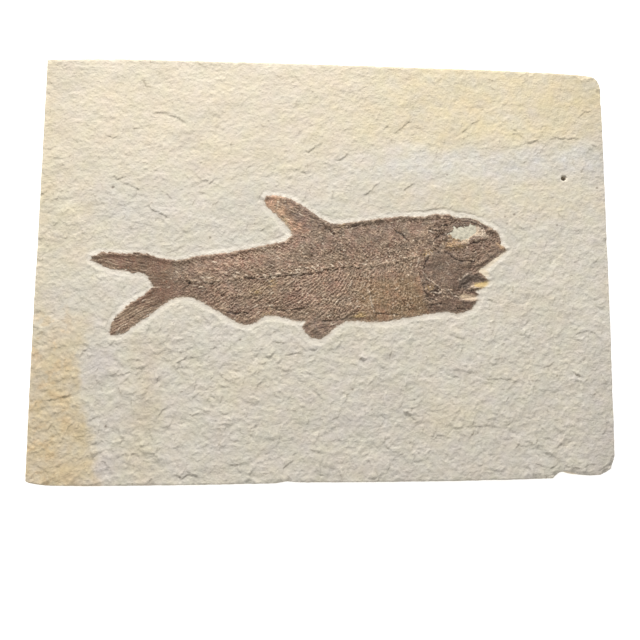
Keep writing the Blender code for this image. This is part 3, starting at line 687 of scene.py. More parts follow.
def fossil_relief():
    """How far each place is outside the film, the film's height over the recess floor, and its tint."""
    x, y = bone.x, bone.y
    noise = partial(fractal, x, y)
    root_x, root_y = TAIL_ROOT
    radius = np.hypot(x - root_x, y - root_y)
    sweep = np.arctan2(y - root_y, root_x - x) + 0.02 * noise(5.0, 811, 2)
    frayed = 0.24 * noise(1.6, 701, 2) + 0.34 * noise(0.7, 709, 3, 0.7)
    frayed = frayed + 0.7 * fractal(sweep * 34, radius / 2.6, 1.0, 713, 2, 0.7) * ramp(-x, 38, 47)
    to_orbit = -signed_distance(bone, orbit_ring, 9.0) + 1.0 * noise(1.8, 719, 4, 0.7)
    to_orbit = to_orbit - 1.6 * ramp(x - 0.4 * y, 34.0, 36.5) - 0.9 * ramp(9.9 - y, 0, 1.5)
    from_fish = signed_distance(bone, fish_ring, 9.0)
    on_lower_side = ramp(-np.gradient(blurred(from_fish, 4), bone.cell, axis=0), -0.1, 0.6)
    from_lens = signed_distance(bone, JAW_LENS, 3.0)
    outside = np.maximum(np.minimum(from_fish - 0.12, from_lens), to_orbit) + frayed
    inner = ramp(-outside, 0.0, 0.8)

    spine_y = np.interp(x, BACKBONE[:, 0], BACKBONE[:, 1])
    above = y - spine_y
    off = np.abs(above)
    in_tail = ramp(-x - 0.25 * off, 37.5, 42.0)
    in_head = ramp(x - 0.02 * y * y + 1.6 * noise(3.0, 727, 3, 0.6), 23.4, 25.6)
    back_line = 9.2 + 0.17 * (x + 8.9)
    in_dorsal = ramp(y - back_line, -0.8, 1.2) * (x < 3.5) * (x > -20)
    in_pelvic = ramp(-y, 13.0, 14.2) * ramp(x, -10, -8) * (x < 4)
    in_anal = ramp(-y - 0.15 * (x + 30), 12.4, 13.6) * ramp(-x, 17, 19)
    fins = np.clip(in_dorsal + in_pelvic + in_anal, 0, 1)
    in_body = (1 - in_tail) * (1 - in_head) * (1 - fins)

    # Lines that lean back over the backbone and under it, ribs that stand steeper to the front.
    slant_over = np.interp(x, [-36, -15, 5, 24], [1.35, 1.15, 1.0, 0.8])
    slant_under = np.interp(x, [-36, -12, -4, 6, 12, 24], [1.45, 1.3, 1.1, 0.6, 0.0, -0.2])
    lean = np.where(above > 0, slant_over, slant_under)
    wobble = 0.5 * noise(5.0, 733, 2)
    across = x + lean * off + wobble
    across = across / np.sqrt(1 + lean**2)
    fibre = fractal(across / 0.36, off / 1.6, 1.0, 739, 3, 0.7)
    fleck = fractal(across / 0.3, off / 0.75, 1.0, 743, 2, 0.6)
    strand = fractal(across / 0.34, off / 4.0, 1.0, 751, 2)
    crumb = noise(0.42, 745, 2, 0.6)
    near_spine = np.exp(-((off / 0.7) ** 2))
    fibre = fibre * (1 - near_spine) + crumb * near_spine
    fleck = fleck * (1 - near_spine) + noise(0.8, 747, 2, 0.6) * near_spine
    strand = strand * (1 - near_spine)
    counter = (x - 0.9 * lean * off + 0.7 * wobble) / np.sqrt(1 + lean**2)
    weave = fractal(counter / 0.32, off / 0.8, 1.0, 749, 2, 0.6) * (1 - near_spine)
    mottle = fractal(x + 0.8 * wobble, y, 2.2, 755, 3, 0.6)
    patch = noise(5.0, 757, 3)
    calm = ramp(x, 8, 14) * ramp(-above, 2.0, 4.0) * 0.3
    calm = np.maximum(calm, 0.25 * ramp(above, 4.5, 7.5) * ramp(x, -14, -4))
    calm = np.maximum(calm, 0.35 * ramp(-x, 26, 36))
    lively = 1 - calm + 0.6 * noise(5.5, 759, 2)
    presence = np.clip(0.55 + 0.9 * noise(6.5, 761, 2), 0.1, 1)
    rib_zone = ramp(-above, 0.6, 1.8) * ramp(x, -10, -2) * (1 - 0.6 * ramp(x, 14, 22))
    ribs = lines(across, 0.86, 2.0) * rib_zone * presence
    spines = lines(across, 0.72, 2.0) * presence * ramp(off, 0.7, 1.5) * ramp(-x, -8, 6) * ramp(9 - off, 0, 4)

    # The backbone: bead-shaped centra with dark pits between them.
    beat = (x + 0.35 * noise(3.0, 769, 1)) / VERTEBRA_PITCH
    turn = 2 * math.pi * beat
    in_column = in_body * ramp(x, -37.5, -35) * ramp(-x, -25.5, -23)
    wide = 0.62 + 0.16 * np.cos(turn)
    column = np.exp(-((above / wide) ** 2)) * in_column
    which = np.floor(beat + 0.5).astype(np.int64)
    pit_x = (beat + 0.5 - np.floor(beat + 0.5) - 0.5) * VERTEBRA_PITCH
    pit_y = above + 0.42 + 0.5 * (lattice(which, 1, 773) - 0.5)
    deep = ramp(lattice(which, 2, 787) + 0.5 * ramp(-np.abs(x + 2), -30, -8), 0.35, 0.9)
    deep = deep * (1 - 0.75 * ramp(x, 7, 13))
    pits = np.exp(-((pit_x / 0.6) ** 2) - (pit_y / 0.2) ** 2) * deep * in_column
    seam = np.exp(-(((above + 0.35 + 1.2 * noise(1.1, 797, 3, 0.7)) / 0.24) ** 2)) * in_column
    seam = seam * (1 - 0.8 * ramp(x, 6, 13)) * (1 - 0.7 * ramp(-x, 20, 30))
    pits = np.maximum(pits, 0.75 * seam * ramp(fractal(x / 0.8, y / 0.8, 1.0, 809, 3, 0.6), 0.14, 0.34))

    # Fin rays.
    rays = 0.3 * lines(sweep, math.radians(3.4), 1.2) * (1 - 0.6 * ramp(radius, 14, 20))
    rays = rays + 0.4 * lines(sweep, math.radians(1.7), 1.0) * ramp(radius, 14, 20)
    ray_grain = fractal(sweep * 52, radius / 4.5, 1.0, 821, 2, 0.7) * ramp(radius, 6, 18)
    ray_grain = ray_grain + 0.6 * fractal(sweep * 90, radius / 1.2, 1.0, 822, 2, 0.7) * ramp(radius, 4, 14)
    rays = (0.3 + rays * np.clip(0.3 + presence, 0, 1) + 0.85 * ray_grain + 0.45 * crumb) * in_tail
    lean_x, lean_y = math.cos(DORSAL_TURN), math.sin(DORSAL_TURN)
    over = -x * lean_y + y * lean_x
    along = x * lean_x + y * lean_y
    over = over + 0.03 * (along - 12) * np.clip(over + 4, -6, 6)
    dorsal = 0.35 + 0.3 * lines(over + 0.2 * wobble, 0.82, 1.2)
    dorsal = (dorsal + 1.1 * fractal(over / 0.36, along / 1.6, 1.0, 823, 2, 0.7)) * in_dorsal
    fan = np.arctan2(PELVIC_ROOT[1] - y, PELVIC_ROOT[0] - x)
    reach = np.hypot(PELVIC_ROOT[1] - y, PELVIC_ROOT[0] - x)
    pelvic = 0.35 + 0.4 * lines(fan + 0.05 * wobble, math.radians(6), 1.2)
    pelvic = (pelvic + 1.0 * fractal(fan * 14, reach / 1.8, 1.0, 827, 2, 0.7)) * in_pelvic
    slope = x * 0.5 + y * -0.866
    anal = (0.3 + 0.4 * lines(slope + 0.2 * wobble, 0.7, 1.2) + 1.0 * fleck) * in_anal

    # The skull: a smooth cheek plate, a plate under it, and rough bones round the orbit.
    cheek = blob(x, y, (31.6, 0.4), (6.4, 4.5), -24, 0.1) * in_head
    throat = blob(x, y, (33.6, -9.3), (7.0, 1.9), 3, 0.15) * in_head
    shank = blob(x, y, (44.0, 4.4), (4.2, 2.0), 40, 0.2) * in_head
    smooth_head = np.clip(cheek + throat + 0.8 * shank, 0, 1)
    rough_head = in_head * (1 - 0.85 * smooth_head)
    crag = fractal(x + 0.5 * wobble, y, 1.5, 829, 4, 0.7)
    ring_angle = np.arctan2(y - ORBIT_CENTRE[1], x - ORBIT_CENTRE[0])
    ring_gap = np.hypot(x - ORBIT_CENTRE[0], y - ORBIT_CENTRE[1])
    folds = fractal(ring_gap / 0.5, ring_angle * 4.5, 1.0, 833, 2, 0.6)
    cells = np.abs(fractal(x + 0.6 * crag, y, 2.3, 839, 2))

    dark = np.zeros(x.shape)
    shifted = Raster(bone.low, (bone.x.max() - 1e-6, bone.y.max() - 1e-6), bone.cell)
    shifted.x = x + 0.45 * noise(1.5, 849, 3)
    shifted.y = y + 0.45 * noise(1.5, 851, 3)
    light = np.zeros(x.shape)
    for width, *route in DARK_STROKES:
        dark = np.maximum(dark, stroke(shifted, route, width))
    for width, *route in LIGHT_STROKES:
        light = np.maximum(light, stroke(shifted, route, 0.75 * width))
    broken_up = np.clip(0.55 + 1.6 * noise(0.9, 853, 2), 0, 1)
    dark = dark * np.clip(broken_up + 0.3, 0, 1) * (1 - 0.6 * in_tail)
    light = light * np.clip(broken_up + 0.2, 0, 1)

    by_orbit = ramp(to_orbit, -2.2, -0.5)
    rise = blend(ramp(-outside, -0.1, 0.4), ramp(-outside, -0.1, 1.3), 0.85 * on_lower_side)
    domed = 0.24 * (1 - 0.65 * by_orbit) * rise + 0.55 * ramp(-outside, 0, 6.0) * (1 - 0.7 * in_tail)
    height = np.where(outside > 0, -1.6 * outside, domed)
    detail = (
        in_body * lively * (0.12 * fibre + 0.12 * fleck + 0.22 * crumb + 0.05 * strand + 0.1 * weave)
        + 0.1 * mottle * (1 - 0.6 * in_tail)
        + in_body * (0.14 * ribs + 0.03 * spines)
        + 0.12 * column
        - 0.34 * pits
        + 0.1 * rays
        + 0.13 * dorsal
        + 0.12 * pelvic
        + 0.12 * anal
        + rough_head * (0.2 * crag + 0.12 * (0.2 - cells) + 0.19 * folds + 0.24 * crumb)
        + 0.16 * cheek
        + 0.14 * throat
        + (0.06 * noise(1.3, 857, 3, 0.6) + 0.06 * crag + 0.12 * crumb) * smooth_head
        + 0.14 * patch * (1 - 0.6 * in_tail)
        - 0.3 * dark
        + 0.24 * light
        + 0.1 * noise(0.5, 859, 2, 0.7) * (1 - 0.75 * smooth_head) * (1 - 0.4 * in_tail)
    )
    height = height + detail * (0.25 + 0.75 * inner) * (outside < 0.2)
    height = np.where(outside < 0, np.maximum(height, 0.12 * ramp(-outside, 0.0, 0.5)), height)

    # The tints of the body, the fins and the head.
    grey = srgb(137, 118, 103)
    tint = layered(
        spread(srgb(153, 127, 106), x.shape),
        (srgb(124, 102, 86), 0.65 * in_body * ramp(-x, 27, 36)),
        (srgb(125, 99, 80), 0.9 * in_tail),
        (grey, 0.5 * in_body * ramp(noise(9.0, 863, 2), 0.0, 0.4)),
        (srgb(150, 121, 91), 0.85 * in_body * ramp(x, 2, 12) * ramp(-y, 0, 4)),
        (grey, 0.6 * in_pelvic),
    )
    for px, py, size in ((-7.1, -7.5, 4), (15.3, 10.7, 4), (2.0, -3.7, 3.5), (-26.0, 1.5, 4.5), (-30, -7, 3)):
        pink = 0.7 * blob(x + wobble, y, (px, py), (size, size * 0.7), 25, 0.6)
        tint = blend(tint, srgb(156, 122, 105), pink)
    trailing = ramp(-0.79 * x - 0.62 * y + wobble + 2 * mottle, -3.2, 1.0)
    tint = layered(
        tint,
        (srgb(122, 101, 88), 0.75 * in_dorsal),
        (srgb(202, 163, 133), 0.9 * in_dorsal * trailing),
        (srgb(214, 190, 150), 0.6 * blob(x, y, (-11.0, 11.9), (0.8, 2.4), 30, 0.6) * trailing),
        (srgb(92, 76, 64), 0.7 * blob(x, y, (-15.9, 18.8), (0.9, 0.5), 20, 0.5)),
        (srgb(138, 116, 99), 0.5 * in_body * ramp(above, 0.8, 3.0) * ramp(x, -18, -8)),
        (srgb(133, 111, 94), 0.9 * in_head),
        (srgb(127, 106, 90), 0.8 * cheek),
        (srgb(119, 97, 81), 0.7 * throat),
        (srgb(158, 133, 113), 0.75 * blob(x, y, (42.0, 5.6), (4.6, 2.8), 0, 0.4)),
        (srgb(132, 111, 94), 0.8 * ramp(y - 0.35 * (x - 5), 3.4, 6.6) * in_body * ramp(x, -4, 4)),
    )
    tint = shaded(tint, 1 + 0.2 * patch * (1 - 0.5 * in_tail))
    tint = tinged(tint, noise(1.8, 887, 4, 0.7), (0.08, 0.0, -0.06))
    tint = tinged(tint, np.maximum(noise(4.6, 893, 3, 0.6), -0.25) * (1 - 0.5 * in_head), (0.15, 0.0, 0.06))
    tint = shaded(tint, 1 + 0.3 * mottle * (1 - 0.6 * in_tail))

    # Pale crests and dark grooves.
    pale, deep_brown = srgb(208, 183, 154), srgb(96, 71, 52)
    lift = lively * (fibre * 0.75 + fleck * 0.7 + 0.7 * crumb + 0.25 * strand + 0.6 * weave) + 0.2 * mottle
    fin_lift = rays + dorsal + pelvic + anal
    in_fin = np.clip(in_tail + fins, 0, 1)
    crease = 0.7 * crag + 0.5 * folds + 0.7 * crumb
    tint = layered(
        tint,
        (pale, 0.74 * in_body * ramp(lift, 0.14, 0.6)),
        (deep_brown, 0.7 * in_body * ramp(-lift, 0.12, 0.6)),
        (pale, 0.48 * in_fin * ramp(fin_lift, 0.6, 1.1)),
        (deep_brown, 0.56 * in_fin * ramp(-fin_lift, -0.3, 0.25)),
        (pale, 0.55 * in_body * ribs * np.clip(0.5 + 1.5 * crumb, 0, 1) + 0.14 * in_body * spines),
        (pale, 0.35 * column * np.clip(0.3 + 2 * fleck, 0, 1)),
        (srgb(50, 35, 27), 0.9 * pits),
        (deep_brown, 0.72 * in_head * (1 - 0.5 * smooth_head) * ramp(-crease, 0.12, 0.6)),
        (pale, 0.78 * in_head * (1 - 0.55 * smooth_head) * ramp(crease, 0.2, 0.62)),
        # Dark creases, partly painted shade, and pale ridges, partly painted highlight.
        (srgb(48, 34, 27), 0.85 * dark),
        (srgb(218, 200, 178), 0.75 * light),
    )
    for gx, gy, size in (
        (-14.7, -4.1, 1.6), (-18.3, -6.2, 1.4), (34.0, 7.6, 2.6), (8.5, -12.6, 1.6), (4.0, 12.0, 0.8),
        (26.5, 4.5, 1.4), (27.0, -4.5, 1.0), (-15.0, -12.0, 1.6), (47.0, 7.2, 1.0),
    ):
        gold = 0.6 * blob(x, y, (gx, gy), (size, size * 0.75), 10, 0.7) * ramp(fleck + fibre, -0.1, 0.5)
        tint = blend(tint, srgb(196, 164, 104), gold)

    # Scattered pale and rusty flecks, bare stone in the head, and the wedge in the jaws.
    band = bell(above - 0.7, 0.95) * in_column
    crowd = np.clip(0.08 + 0.6 * band + 0.5 * noise(4.0, 879, 2), 0, 0.55)
    scattered = ramp(fractal(across / 0.55, off / 0.8, 1.0, 877, 1) + 0.4 * crowd, 0.42, 0.56)
    scattered = scattered * (1 - 0.8 * smooth_head) * (1 - pits)
    height = height + 0.06 * scattered * inner
    rusty = ramp(noise(0.7, 883, 1), 0.4, 0.6)
    ragged = 1.6 * noise(1.4, 891, 3, 0.7)
    orbit_side = blob(x + ragged, y + 0.4 * ragged, (39.8, 10.6), (2.9, 1.0), -20, 0.5)
    before_orbit = ramp(0.8 * (x - 37.5) - (y - 10.2) + ragged, -0.6, 1.2)
    halo = ramp(to_orbit, -1.3, -0.35) * before_orbit * (outside < 0.3)
    spotted = np.clip(0.7 + 1.6 * crumb + 0.5 * crag, 0, 1)
    amber = blob(x + 0.8 * ragged, y + 0.6 * ragged, (32.9, 7.2), (1.1, 0.7), 20, 0.5)
    snout = blob(x + 0.3 * ragged, y, (46.3, 6.8), (1.3, 0.4), -40, 0.6)
    in_lens = ramp(-from_lens, -0.1, 0.5) * (1 - light)
    wedge = ramp(-signed_distance(bone, JAW_WEDGE, 3.0) + 0.12 * ragged, -0.15, 0.15)
    wedge_tint = spread(srgb(226, 202, 172), x.shape)
    wedge_tint = blend(wedge_tint, srgb(226, 199, 143), ramp(x + 1.5 * (y + 3.5), 38.6, 40.4))
    bare = np.maximum(
        blob(x + 0.4 * ragged, y, (37.6, -7.0), (2.6, 0.75), -8, 0.4),
        blob(x, y + 0.3 * ragged, (41.8, -0.5), (1.7, 0.65), -42, 0.5),
    )
    tint = layered(
        tint,
        (srgb(228, 209, 184), 0.8 * scattered * (1 - 0.6 * in_tail)),
        (srgb(176, 112, 84), 0.45 * rusty * (1 - 0.6 * in_head)),
        (shaded(srgb(226, 206, 182), 1 + 0.2 * crumb), 0.95 * orbit_side),
        (shaded(srgb(222, 198, 168), 1 + 0.3 * crumb), 0.8 * halo),
        (srgb(214, 176, 134), 0.7 * amber * spotted),
        (srgb(226, 190, 146), 0.75 * snout * spotted),
        (srgb(112, 98, 86), 0.8 * in_lens * (1 - 0.8 * dark)),
        (shaded(wedge_tint, 1 + 0.15 * crumb), 0.92 * wedge),
        (srgb(216, 192, 160), 0.85 * bare),
    )

    # The edge is darker along the back, and thin and dusty below.
    edge_dark = np.clip(0.1 + 0.8 * noise(2.5, 889, 2), -0.2, 0.5) * (1 - on_lower_side)
    tint = shaded(tint, 1 - edge_dark * ramp(outside, -0.55, 0.0))
    thin = ramp(outside, -0.75, 0.0) * (0.35 + 0.35 * on_lower_side)
    thin = thin * np.clip(0.8 + 1.2 * noise(0.9, 897, 2), 0, 1)
    tint = blend(tint, srgb(188, 166, 144), thin * (1 - by_orbit))
    tint = shaded(tint, 1 + 0.05 * noise(0.5, 881, 2))
    return outside, height, np.clip(tint, 0.005, 0.9)


film_outside, film_height, film_tint = fossil_relief()


# ---------------------------------------------------------------- meshes


def placed(name, data):
    """A new object in the scene."""
    thing = bpy.data.objects.new(name, data)
    bpy.context.scene.collection.objects.link(thing)
    return thing


def mesh_piece(name, places, faces, tint, material):
    """A mesh object from places in millimetres, its quads and a tint at each place."""
    mesh = bpy.data.meshes.new(name)
    faces = np.asarray(faces, np.int32)
    mesh.vertices.add(len(places))
    mesh.vertices.foreach_set("co", (np.asarray(places) * MM).astype(np.float32).ravel())
    mesh.loops.add(faces.size)
    mesh.loops.foreach_set("vertex_index", faces.ravel())
    mesh.polygons.add(len(faces))
    mesh.polygons.foreach_set("loop_start", np.arange(0, faces.size, 4, dtype=np.int32))
    mesh.update(calc_edges=True)
    mesh.polygons.foreach_set("use_smooth", np.full(len(faces), True))
    attribute = mesh.color_attributes.new(name="tint", type="FLOAT_COLOR", domain="POINT")
    shades = np.ones((len(places), 4), np.float32)
    shades[:, :3] = tint
    attribute.data.foreach_set("color", shades.ravel())
    mesh.validate()
    mesh.materials.append(material)
    return placed(name, mesh)


def used_only(places, faces, *others):
    """Drops the places that no face uses."""
    used, faces = np.unique(faces, return_inverse=True)
    return places[used], faces.reshape(-1, 4), *(values[used] for values in others)


def grid_faces(rows, columns):
    """The quads of a grid of places, row by row."""
    first = (np.arange(rows - 1)[:, None] * columns + np.arange(columns - 1)).ravel()
    return np.stack([first, first + 1, first + columns + 1, first + columns], axis=1)


def side_of(ring, start, end, count):
    """The stretch of a ring between two corners, the short way round, as evenly spaced places."""
    first = np.argmin(np.linalg.norm(ring - start, axis=1))
    last = np.argmin(np.linalg.norm(ring - end, axis=1))
    ahead = np.roll(ring, -first, axis=0)[: (last - first) % len(ring) + 1]
    back = np.roll(ring[::-1], first + 1, axis=0)[: (first - last) % len(ring) + 1]
    lengths = [np.linalg.norm(np.diff(part, axis=0), axis=1).sum() for part in (ahead, back)]
    part = ahead if lengths[0] < lengths[1] else back
    travel = np.concatenate([[0], np.cumsum(np.linalg.norm(np.diff(part, axis=0), axis=1))])
    wanted = np.linspace(0, travel[-1], count)
    return np.stack([np.interp(wanted, travel, part[:, k]) for k in (0, 1)], axis=1)


def sheet_inside(bottom, top, left, right):
    """Places spread evenly between four sides that meet at their corners."""
    u = np.linspace(0, 1, len(bottom))[None, :, None]
    v = np.linspace(0, 1, len(left))[:, None, None]
    across = (1 - v) * bottom[None] + v * top[None]
    up = (1 - u) * left[:, None] + u * right[:, None]
    corners = (1 - u) * (1 - v) * bottom[0] + u * (1 - v) * bottom[-1]
    corners = corners + (1 - u) * v * top[0] + u * v * top[-1]
    return across + up - corners


SLAB_SPAN = (150, 109)
TOP_LEFT, TOP_RIGHT = (-73.8, 54.8), (75.1, 52.4)
BOTTOM_LEFT, BOTTOM_RIGHT = (-75.6, -54.4), (74.6, -51.7)


def slab_sheet(ring, cell):
    """Places spread evenly inside an outline of the slab, about a cell apart."""
    columns, rows = int(SLAB_SPAN[0] / cell) + 1, int(SLAB_SPAN[1] / cell) + 1
    return sheet_inside(
        side_of(ring, BOTTOM_LEFT, BOTTOM_RIGHT, columns),
        side_of(ring, TOP_LEFT, TOP_RIGHT, columns),
        side_of(ring, BOTTOM_LEFT, TOP_LEFT, rows),
        side_of(ring, BOTTOM_RIGHT, TOP_RIGHT, rows),
    )


def inward_normals(ring):
    """The direction into a ring at each of its places."""
    ahead = np.roll(ring, -1, axis=0) - np.roll(ring, 1, axis=0)
    normals = np.stack([ahead[:, 1], -ahead[:, 0]], axis=1) / np.linalg.norm(ahead, axis=1)[:, None]
    return -normals if ((ring - ring.mean(0)) * normals).sum() > 0 else normals


def worn_ring(ring):
    """The slab's rim with the small nibbles of a real edge, never outside the CAD outline."""
    points = []
    for start, end in zip(ring, np.roll(ring, -1, axis=0)):
        count = max(int(np.linalg.norm(end - start) / 0.5), 1)
        points.extend(start + (end - start) * k / count for k in range(count))
    points = np.array(points)
    bite = 0.03 + 0.09 * fractal(*points.T, 3.3, 901, 2)
    bite = bite + 0.09 * fractal(*points.T, 1.1, 907, 2)
    return points + inward_normals(points) * np.clip(bite, 0.0, 0.25)[:, None]


def rim_of(sheet):
    """The outer places of a sheet, once round."""
    return np.concatenate([sheet[0, :-1], sheet[:-1, -1], sheet[-1, :0:-1], sheet[:0:-1, 0]])


# ---------------------------------------------------------------- materials


def wire(tree, node, inputs):
    """Sets each input of a node to a value, or links it to another node's output."""
    for key, value in inputs.items():
        if isinstance(value, bpy.types.NodeSocket):
            tree.links.new(value, node.inputs[key])
        else:
            node.inputs[key].default_value = value


def add_node(tree, kind, inputs, **settings):
    node = tree.nodes.new("ShaderNode" + kind)
    for key, value in settings.items():
        setattr(node, key, value)
    wire(tree, node, inputs)
    return node


def tinted_material(name):
    """A material with, in its tree, the shader, the place on the object and the tint painted there."""
    material = bpy.data.materials.new(name)
    material.use_nodes = True
    tree = material.node_tree
    tree.nodes.clear()
    shader = add_node(tree, "BsdfPrincipled", {})
    add_node(tree, "OutputMaterial", {"Surface": shader.outputs["BSDF"]})
    place = add_node(tree, "TexCoord", {}).outputs["Object"]
    tint = add_node(tree, "Attribute", {}, attribute_name="tint").outputs["Color"]
    return material, tree, shader, place, tint


def grain(tree, place, width, detail, roughness):
    """Noise with lumps about a width in millimetres across."""
    inputs = {"Vector": place, "Scale": 1 / (width * MM), "Detail": detail, "Roughness": roughness}
    return add_node(tree, "TexNoise", inputs).outputs


def ranged(tree, value, source, target):
    """A value from one range moved into another."""
    keys = ("Value", "From Min", "From Max", "To Min", "To Max")
    return add_node(tree, "MapRange", dict(zip(keys, (value, *source, *target)))).outputs["Result"]


def scaled_colour(tree, colour, factor):
    return add_node(tree, "VectorMath", {0: colour, "Scale": factor}, operation="SCALE").outputs["Vector"]


def bumped(tree, value, strength, distance, below=None):
    """A normal bent by a value, over the bumps below it."""
    inputs = {"Height": value, "Strength": strength, "Distance": distance * MM}
    if below is not None:
        inputs["Normal"] = below
    return add_node(tree, "Bump", inputs).outputs["Normal"]


def limestone_material():
    material, tree, shader, place, tint = tinted_material("limestone")
    fine = grain(tree, place, 0.5, 3, 0.65)["Fac"]
    soft = grain(tree, place, 6.0, 3, 0.5)["Fac"]
    dots = grain(tree, place, 0.9, 1, 0.4)["Fac"]
    colour = scaled_colour(tree, tint, ranged(tree, fine, (0.25, 0.75), (0.95, 1.05)))
    colour = scaled_colour(tree, colour, ranged(tree, soft, (0.3, 0.7), (0.98, 1.02)))
    dirt = ranged(tree, dots, (0.79, 0.84), (0.0, 0.55))
    dirtied = {"Factor": dirt, "A": colour, "B": (*srgb(150, 132, 104), 1)}
    colour = add_node(tree, "Mix", dirtied, data_type="RGBA").outputs["Result"]

    # Scaly bumps, bent by a coarser grain.
    coarse = grain(tree, place, 1.1, 2, 0.5)
    bend = {0: coarse["Color"], 1: (SCALE_BEND, SCALE_BEND, SCALE_BEND), 2: place}
    bent = add_node(tree, "VectorMath", bend, operation="MULTIPLY_ADD").outputs["Vector"]
    scales = add_node(tree, "TexVoronoi", {"Vector": bent, "Scale": SCALES_PER_METRE}).outputs["Distance"]
    normal = bumped(tree, scales, 0.5, 0.18)
    normal = bumped(tree, coarse["Fac"], 0.8, 0.25, normal)
    normal = bumped(tree, fine, 0.8, 0.16, normal)
    wire(tree, shader, {
        "Base Color": colour,
        "Roughness": ranged(tree, fine, (0.2, 0.8), (0.86, 1.0)),
        "Specular IOR Level": 0.25,
        "Normal": normal,
    })
    return material


def fossil_material():
    material, tree, shader, place, tint = tinted_material("fossil_bone")
    fine = grain(tree, place, 0.33, 1, 0.5)["Fac"]
    soft = grain(tree, place, 2.4, 2, 0.5)["Fac"]
    wire(tree, shader, {
        "Base Color": scaled_colour(tree, tint, ranged(tree, fine, (0.25, 0.75), (0.62, 1.38))),
        "Roughness": ranged(tree, soft, (0.3, 0.7), (0.5, 0.72)),
        "Specular IOR Level": 0.4,
        "Normal": bumped(tree, fine, 0.9, 0.2),
    })
    return material


def floor_material():
    material = bpy.data.materials.new("floor")
    material.use_nodes = True
    wire(material.node_tree, material.node_tree.nodes["Principled BSDF"], {
        "Base Color": (0.92, 0.92, 0.92, 1),
        "Roughness": 0.95,
        "Specular IOR Level": 0.1,
        "Emission Color": (1, 1, 1, 1),
        "Emission Strength": FLOOR_GLOW,
    })
    return material


limestone = limestone_material()
fossil_bone = fossil_material()

# ---------------------------------------------------------------- the slab's pieces

sheet = slab_sheet(worn_ring(slab_ring), STONE_CELL)
rows, columns = sheet.shape[:2]
flat = sheet.reshape(-1, 2)
heights = stone.read(face, flat)
places = np.column_stack([flat, heights])
tints = np.column_stack([stone.read(stone_tint[..., k], flat) for k in range(3)])
buried = stone.read(np.maximum(outside_fish, -outside_orbit), flat) < -BURIED_REACH
faces = grid_faces(rows, columns)
kept = ~buried[faces].all(axis=1)
column_of = np.arange(len(faces)) % (columns - 1)
bounds_of_parts = np.linspace(0, columns - 1, 4).astype(int)
stone_pieces = []
for part, name in enumerate(("left", "middle", "right")):
    here = kept & (column_of >= bounds_of_parts[part]) & (column_of < bounds_of_parts[part + 1])
    part_places, part_faces, part_tints = used_only(places, faces[here], tints)
    stone_pieces.append(mesh_piece(f"limestone_face_{name}", part_places, part_faces, part_tints, limestone))

# The sides: laminations that stand out and weather back, with a worn foot.
top_rim = rim_of(sheet)
rim_heights = stone.read(face, top_rim)
full_rim = rim_of(slab_sheet(slab_ring, STONE_CELL))
under_ring = slab_ring + inward_normals(slab_ring) * 0.25
foot_rim = rim_of(slab_sheet(under_ring, STONE_CELL))
inward = foot_rim - full_rim
inward = inward / np.maximum(np.linalg.norm(inward, axis=1), 1e-6)[:, None]
travel = np.cumsum(np.linalg.norm(np.diff(full_rim, axis=0, prepend=full_rim[:1]), axis=1))
around = 2 * math.pi * travel / travel[-1]
ring_x, ring_y = 84 * np.cos(around), 84 * np.sin(around)
levels = np.concatenate([[0], np.linspace(0.02, 1, 17)])
side_places, side_tints = [], []
for level in levels:
    z = rim_heights * (1 - level)
    rough = fractal(ring_x + 200, ring_y + 1.7 * z, 1.6, 967, 4, 0.65)
    scar = fractal(ring_x + 300, ring_y + 2.5 * z, 6.0, 969, 2)
    layer = fractal(ring_x / 16 + 40, z / 0.8 + 0.04 * ring_y + 0.7 * rough, 1.0, 953, 3, 0.6)
    inset = np.clip(0.18 + 0.12 * layer + 0.2 * rough + 0.25 * scar, 0.0, 0.6)
    middle = full_rim + inward * inset[:, None]
    near_top = ramp(np.full(len(z), level), 0.0, 0.09)[:, None]
    near_foot = ramp(np.full(len(z), level), 0.93, 1.0)[:, None]
    spot = top_rim * (1 - near_top) + middle * near_top
    spot = spot * (1 - near_foot) + foot_rim * near_foot
    side_places.append(np.column_stack([spot, z]))
    shade = spread(srgb(208, 196, 174), z.shape)
    shade = blend(shade, srgb(192, 175, 146), 0.7 * ramp(layer + 0.5 * scar, -0.2, 0.55))
    shade = shade * (1 + 0.16 * rough + 0.08 * fractal(ring_x, ring_y + 1.7 * z, 0.7, 981, 2))[:, None]
    top_tint = np.column_stack([stone.read(stone_tint[..., k], top_rim) for k in range(3)])
    side_tints.append(top_tint * (1 - near_top) + shade * near_top)
count = len(top_rim)
side_faces = []
for row in range(len(levels) - 1):
    here = np.arange(count)
    following = (here + 1) % count
    side_faces.append(np.stack([
        row * count + here,
        (row + 1) * count + here,
        (row + 1) * count + following,
        row * count + following,
    ], axis=1))
side_faces = np.concatenate(side_faces)
sides = mesh_piece(
    "limestone_sides", np.concatenate(side_places), side_faces, np.concatenate(side_tints), limestone
)
stone_pieces.append(sides)

under = slab_sheet(under_ring, UNDERSIDE_CELL)
under_flat = under.reshape(-1, 2)
ux, uy = under_flat.T
pitted = np.maximum(0.35 * fractal(ux, uy, 9.0, 971, 3) - 0.02, 0)
at_rim = np.zeros(under.shape[:2], bool)
at_rim[[0, -1]] = True
at_rim[:, [0, -1]] = True
pitted[at_rim.ravel()] = 0
cloud = fractal(ux, uy, 16.0, 977, 3)
under_tint = blend(spread(srgb(208, 196, 172), ux.shape), srgb(188, 168, 132), ramp(cloud, -0.2, 0.45))
under_faces = grid_faces(*under.shape[:2])[:, ::-1]
under_places = np.column_stack([under_flat, pitted])
stone_pieces.append(mesh_piece("limestone_underside", under_places, under_faces, under_tint, limestone))

# ---------------------------------------------------------------- the fossil's piece

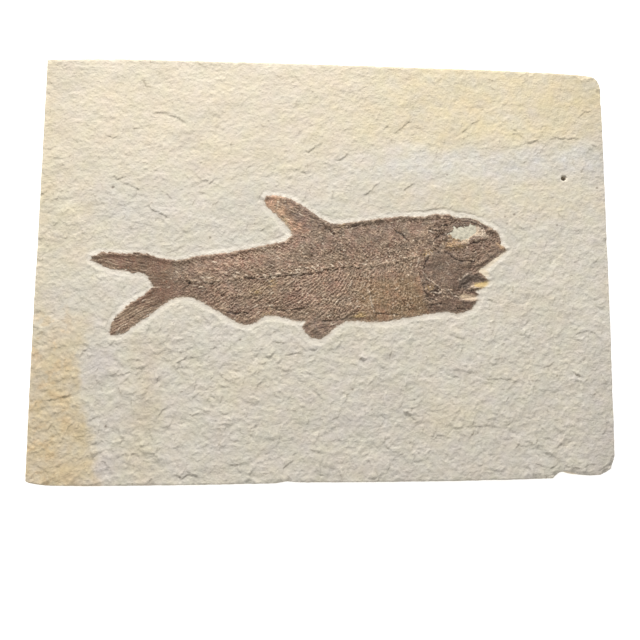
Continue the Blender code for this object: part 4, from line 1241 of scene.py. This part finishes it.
film_x = np.arange(bone.low[0] + 0.5, bone.x.max() - 0.5, FISH_CELL)
film_y = np.arange(bone.low[1] + 0.5, bone.y.max() - 0.5, FISH_CELL)
film_flat = np.stack(np.meshgrid(film_x, film_y), axis=-1).reshape(-1, 2)
film_faces = grid_faces(len(film_y), len(film_x))
film_gap = bone.read(film_outside, film_flat)
film_faces = film_faces[(film_gap[film_faces] < FILM_REACH).all(axis=1)]
film_flat, film_faces = used_only(film_flat, film_faces)
film_z = stone.read(floor_level, film_flat) + bone.read(film_height, film_flat)
film_shade = np.column_stack([bone.read(film_tint[..., k], film_flat) for k in range(3)])
film_places = np.column_stack([film_flat, film_z])
film = mesh_piece("fossil_fish_film", film_places, film_faces, film_shade, fossil_bone)

# ---------------------------------------------------------------- floor, light and camera

floor_mesh = bpy.data.meshes.new("floor")
floor_corners = [(i * FLOOR_HALF, j * FLOOR_HALF, 0) for i, j in ((-1, -1), (1, -1), (1, 1), (-1, 1))]
floor_mesh.from_pydata(floor_corners, [], [(0, 1, 2, 3)])
floor_mesh.materials.append(floor_material())
floor = placed("floor", floor_mesh)
floor.location.z = -FLOOR_DROP

world = bpy.data.worlds.new("studio")
bpy.context.scene.world = world
world.use_nodes = True
background = world.node_tree.nodes["Background"]
background.inputs["Color"].default_value = (1, 1, 1, 1)
background.inputs["Strength"].default_value = WORLD_STRENGTH

lamp = bpy.data.lights.new("window", "AREA")
lamp.shape = "RECTANGLE"
lamp.size, lamp.size_y = LAMP_SIZE
lamp.energy = LAMP_POWER
lamp_object = placed("window", lamp)
lamp_object.location = Vector(LAMP_PLACE) * MM
beam = Vector((0, 0, SLAB_TOP * MM)) - lamp_object.location
lamp_object.rotation_euler = beam.to_track_quat("-Z", "Y").to_euler()

camera_data = bpy.data.cameras.new("camera")
camera_data.lens = CAMERA_LENS
camera_data.sensor_width = 36
camera_data.clip_start = 0.01
camera = placed("camera", camera_data)
forward = (Vector(CAMERA_TARGET) - Vector(CAMERA_PLACE)).normalized()
right = forward.cross(Vector((0, 1, 0))).normalized()
turned = Matrix((right, right.cross(forward), -forward)).transposed()
camera.matrix_world = Matrix.Translation(Vector(CAMERA_PLACE) * MM) @ turned.to_4x4()
bpy.context.scene.camera = camera
bpy.context.scene.view_settings.view_transform = "Standard"

for piece in stone_pieces:
    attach(piece, "root")
    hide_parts("limestone_slab")
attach(film, "root")
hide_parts("fossil_fish")
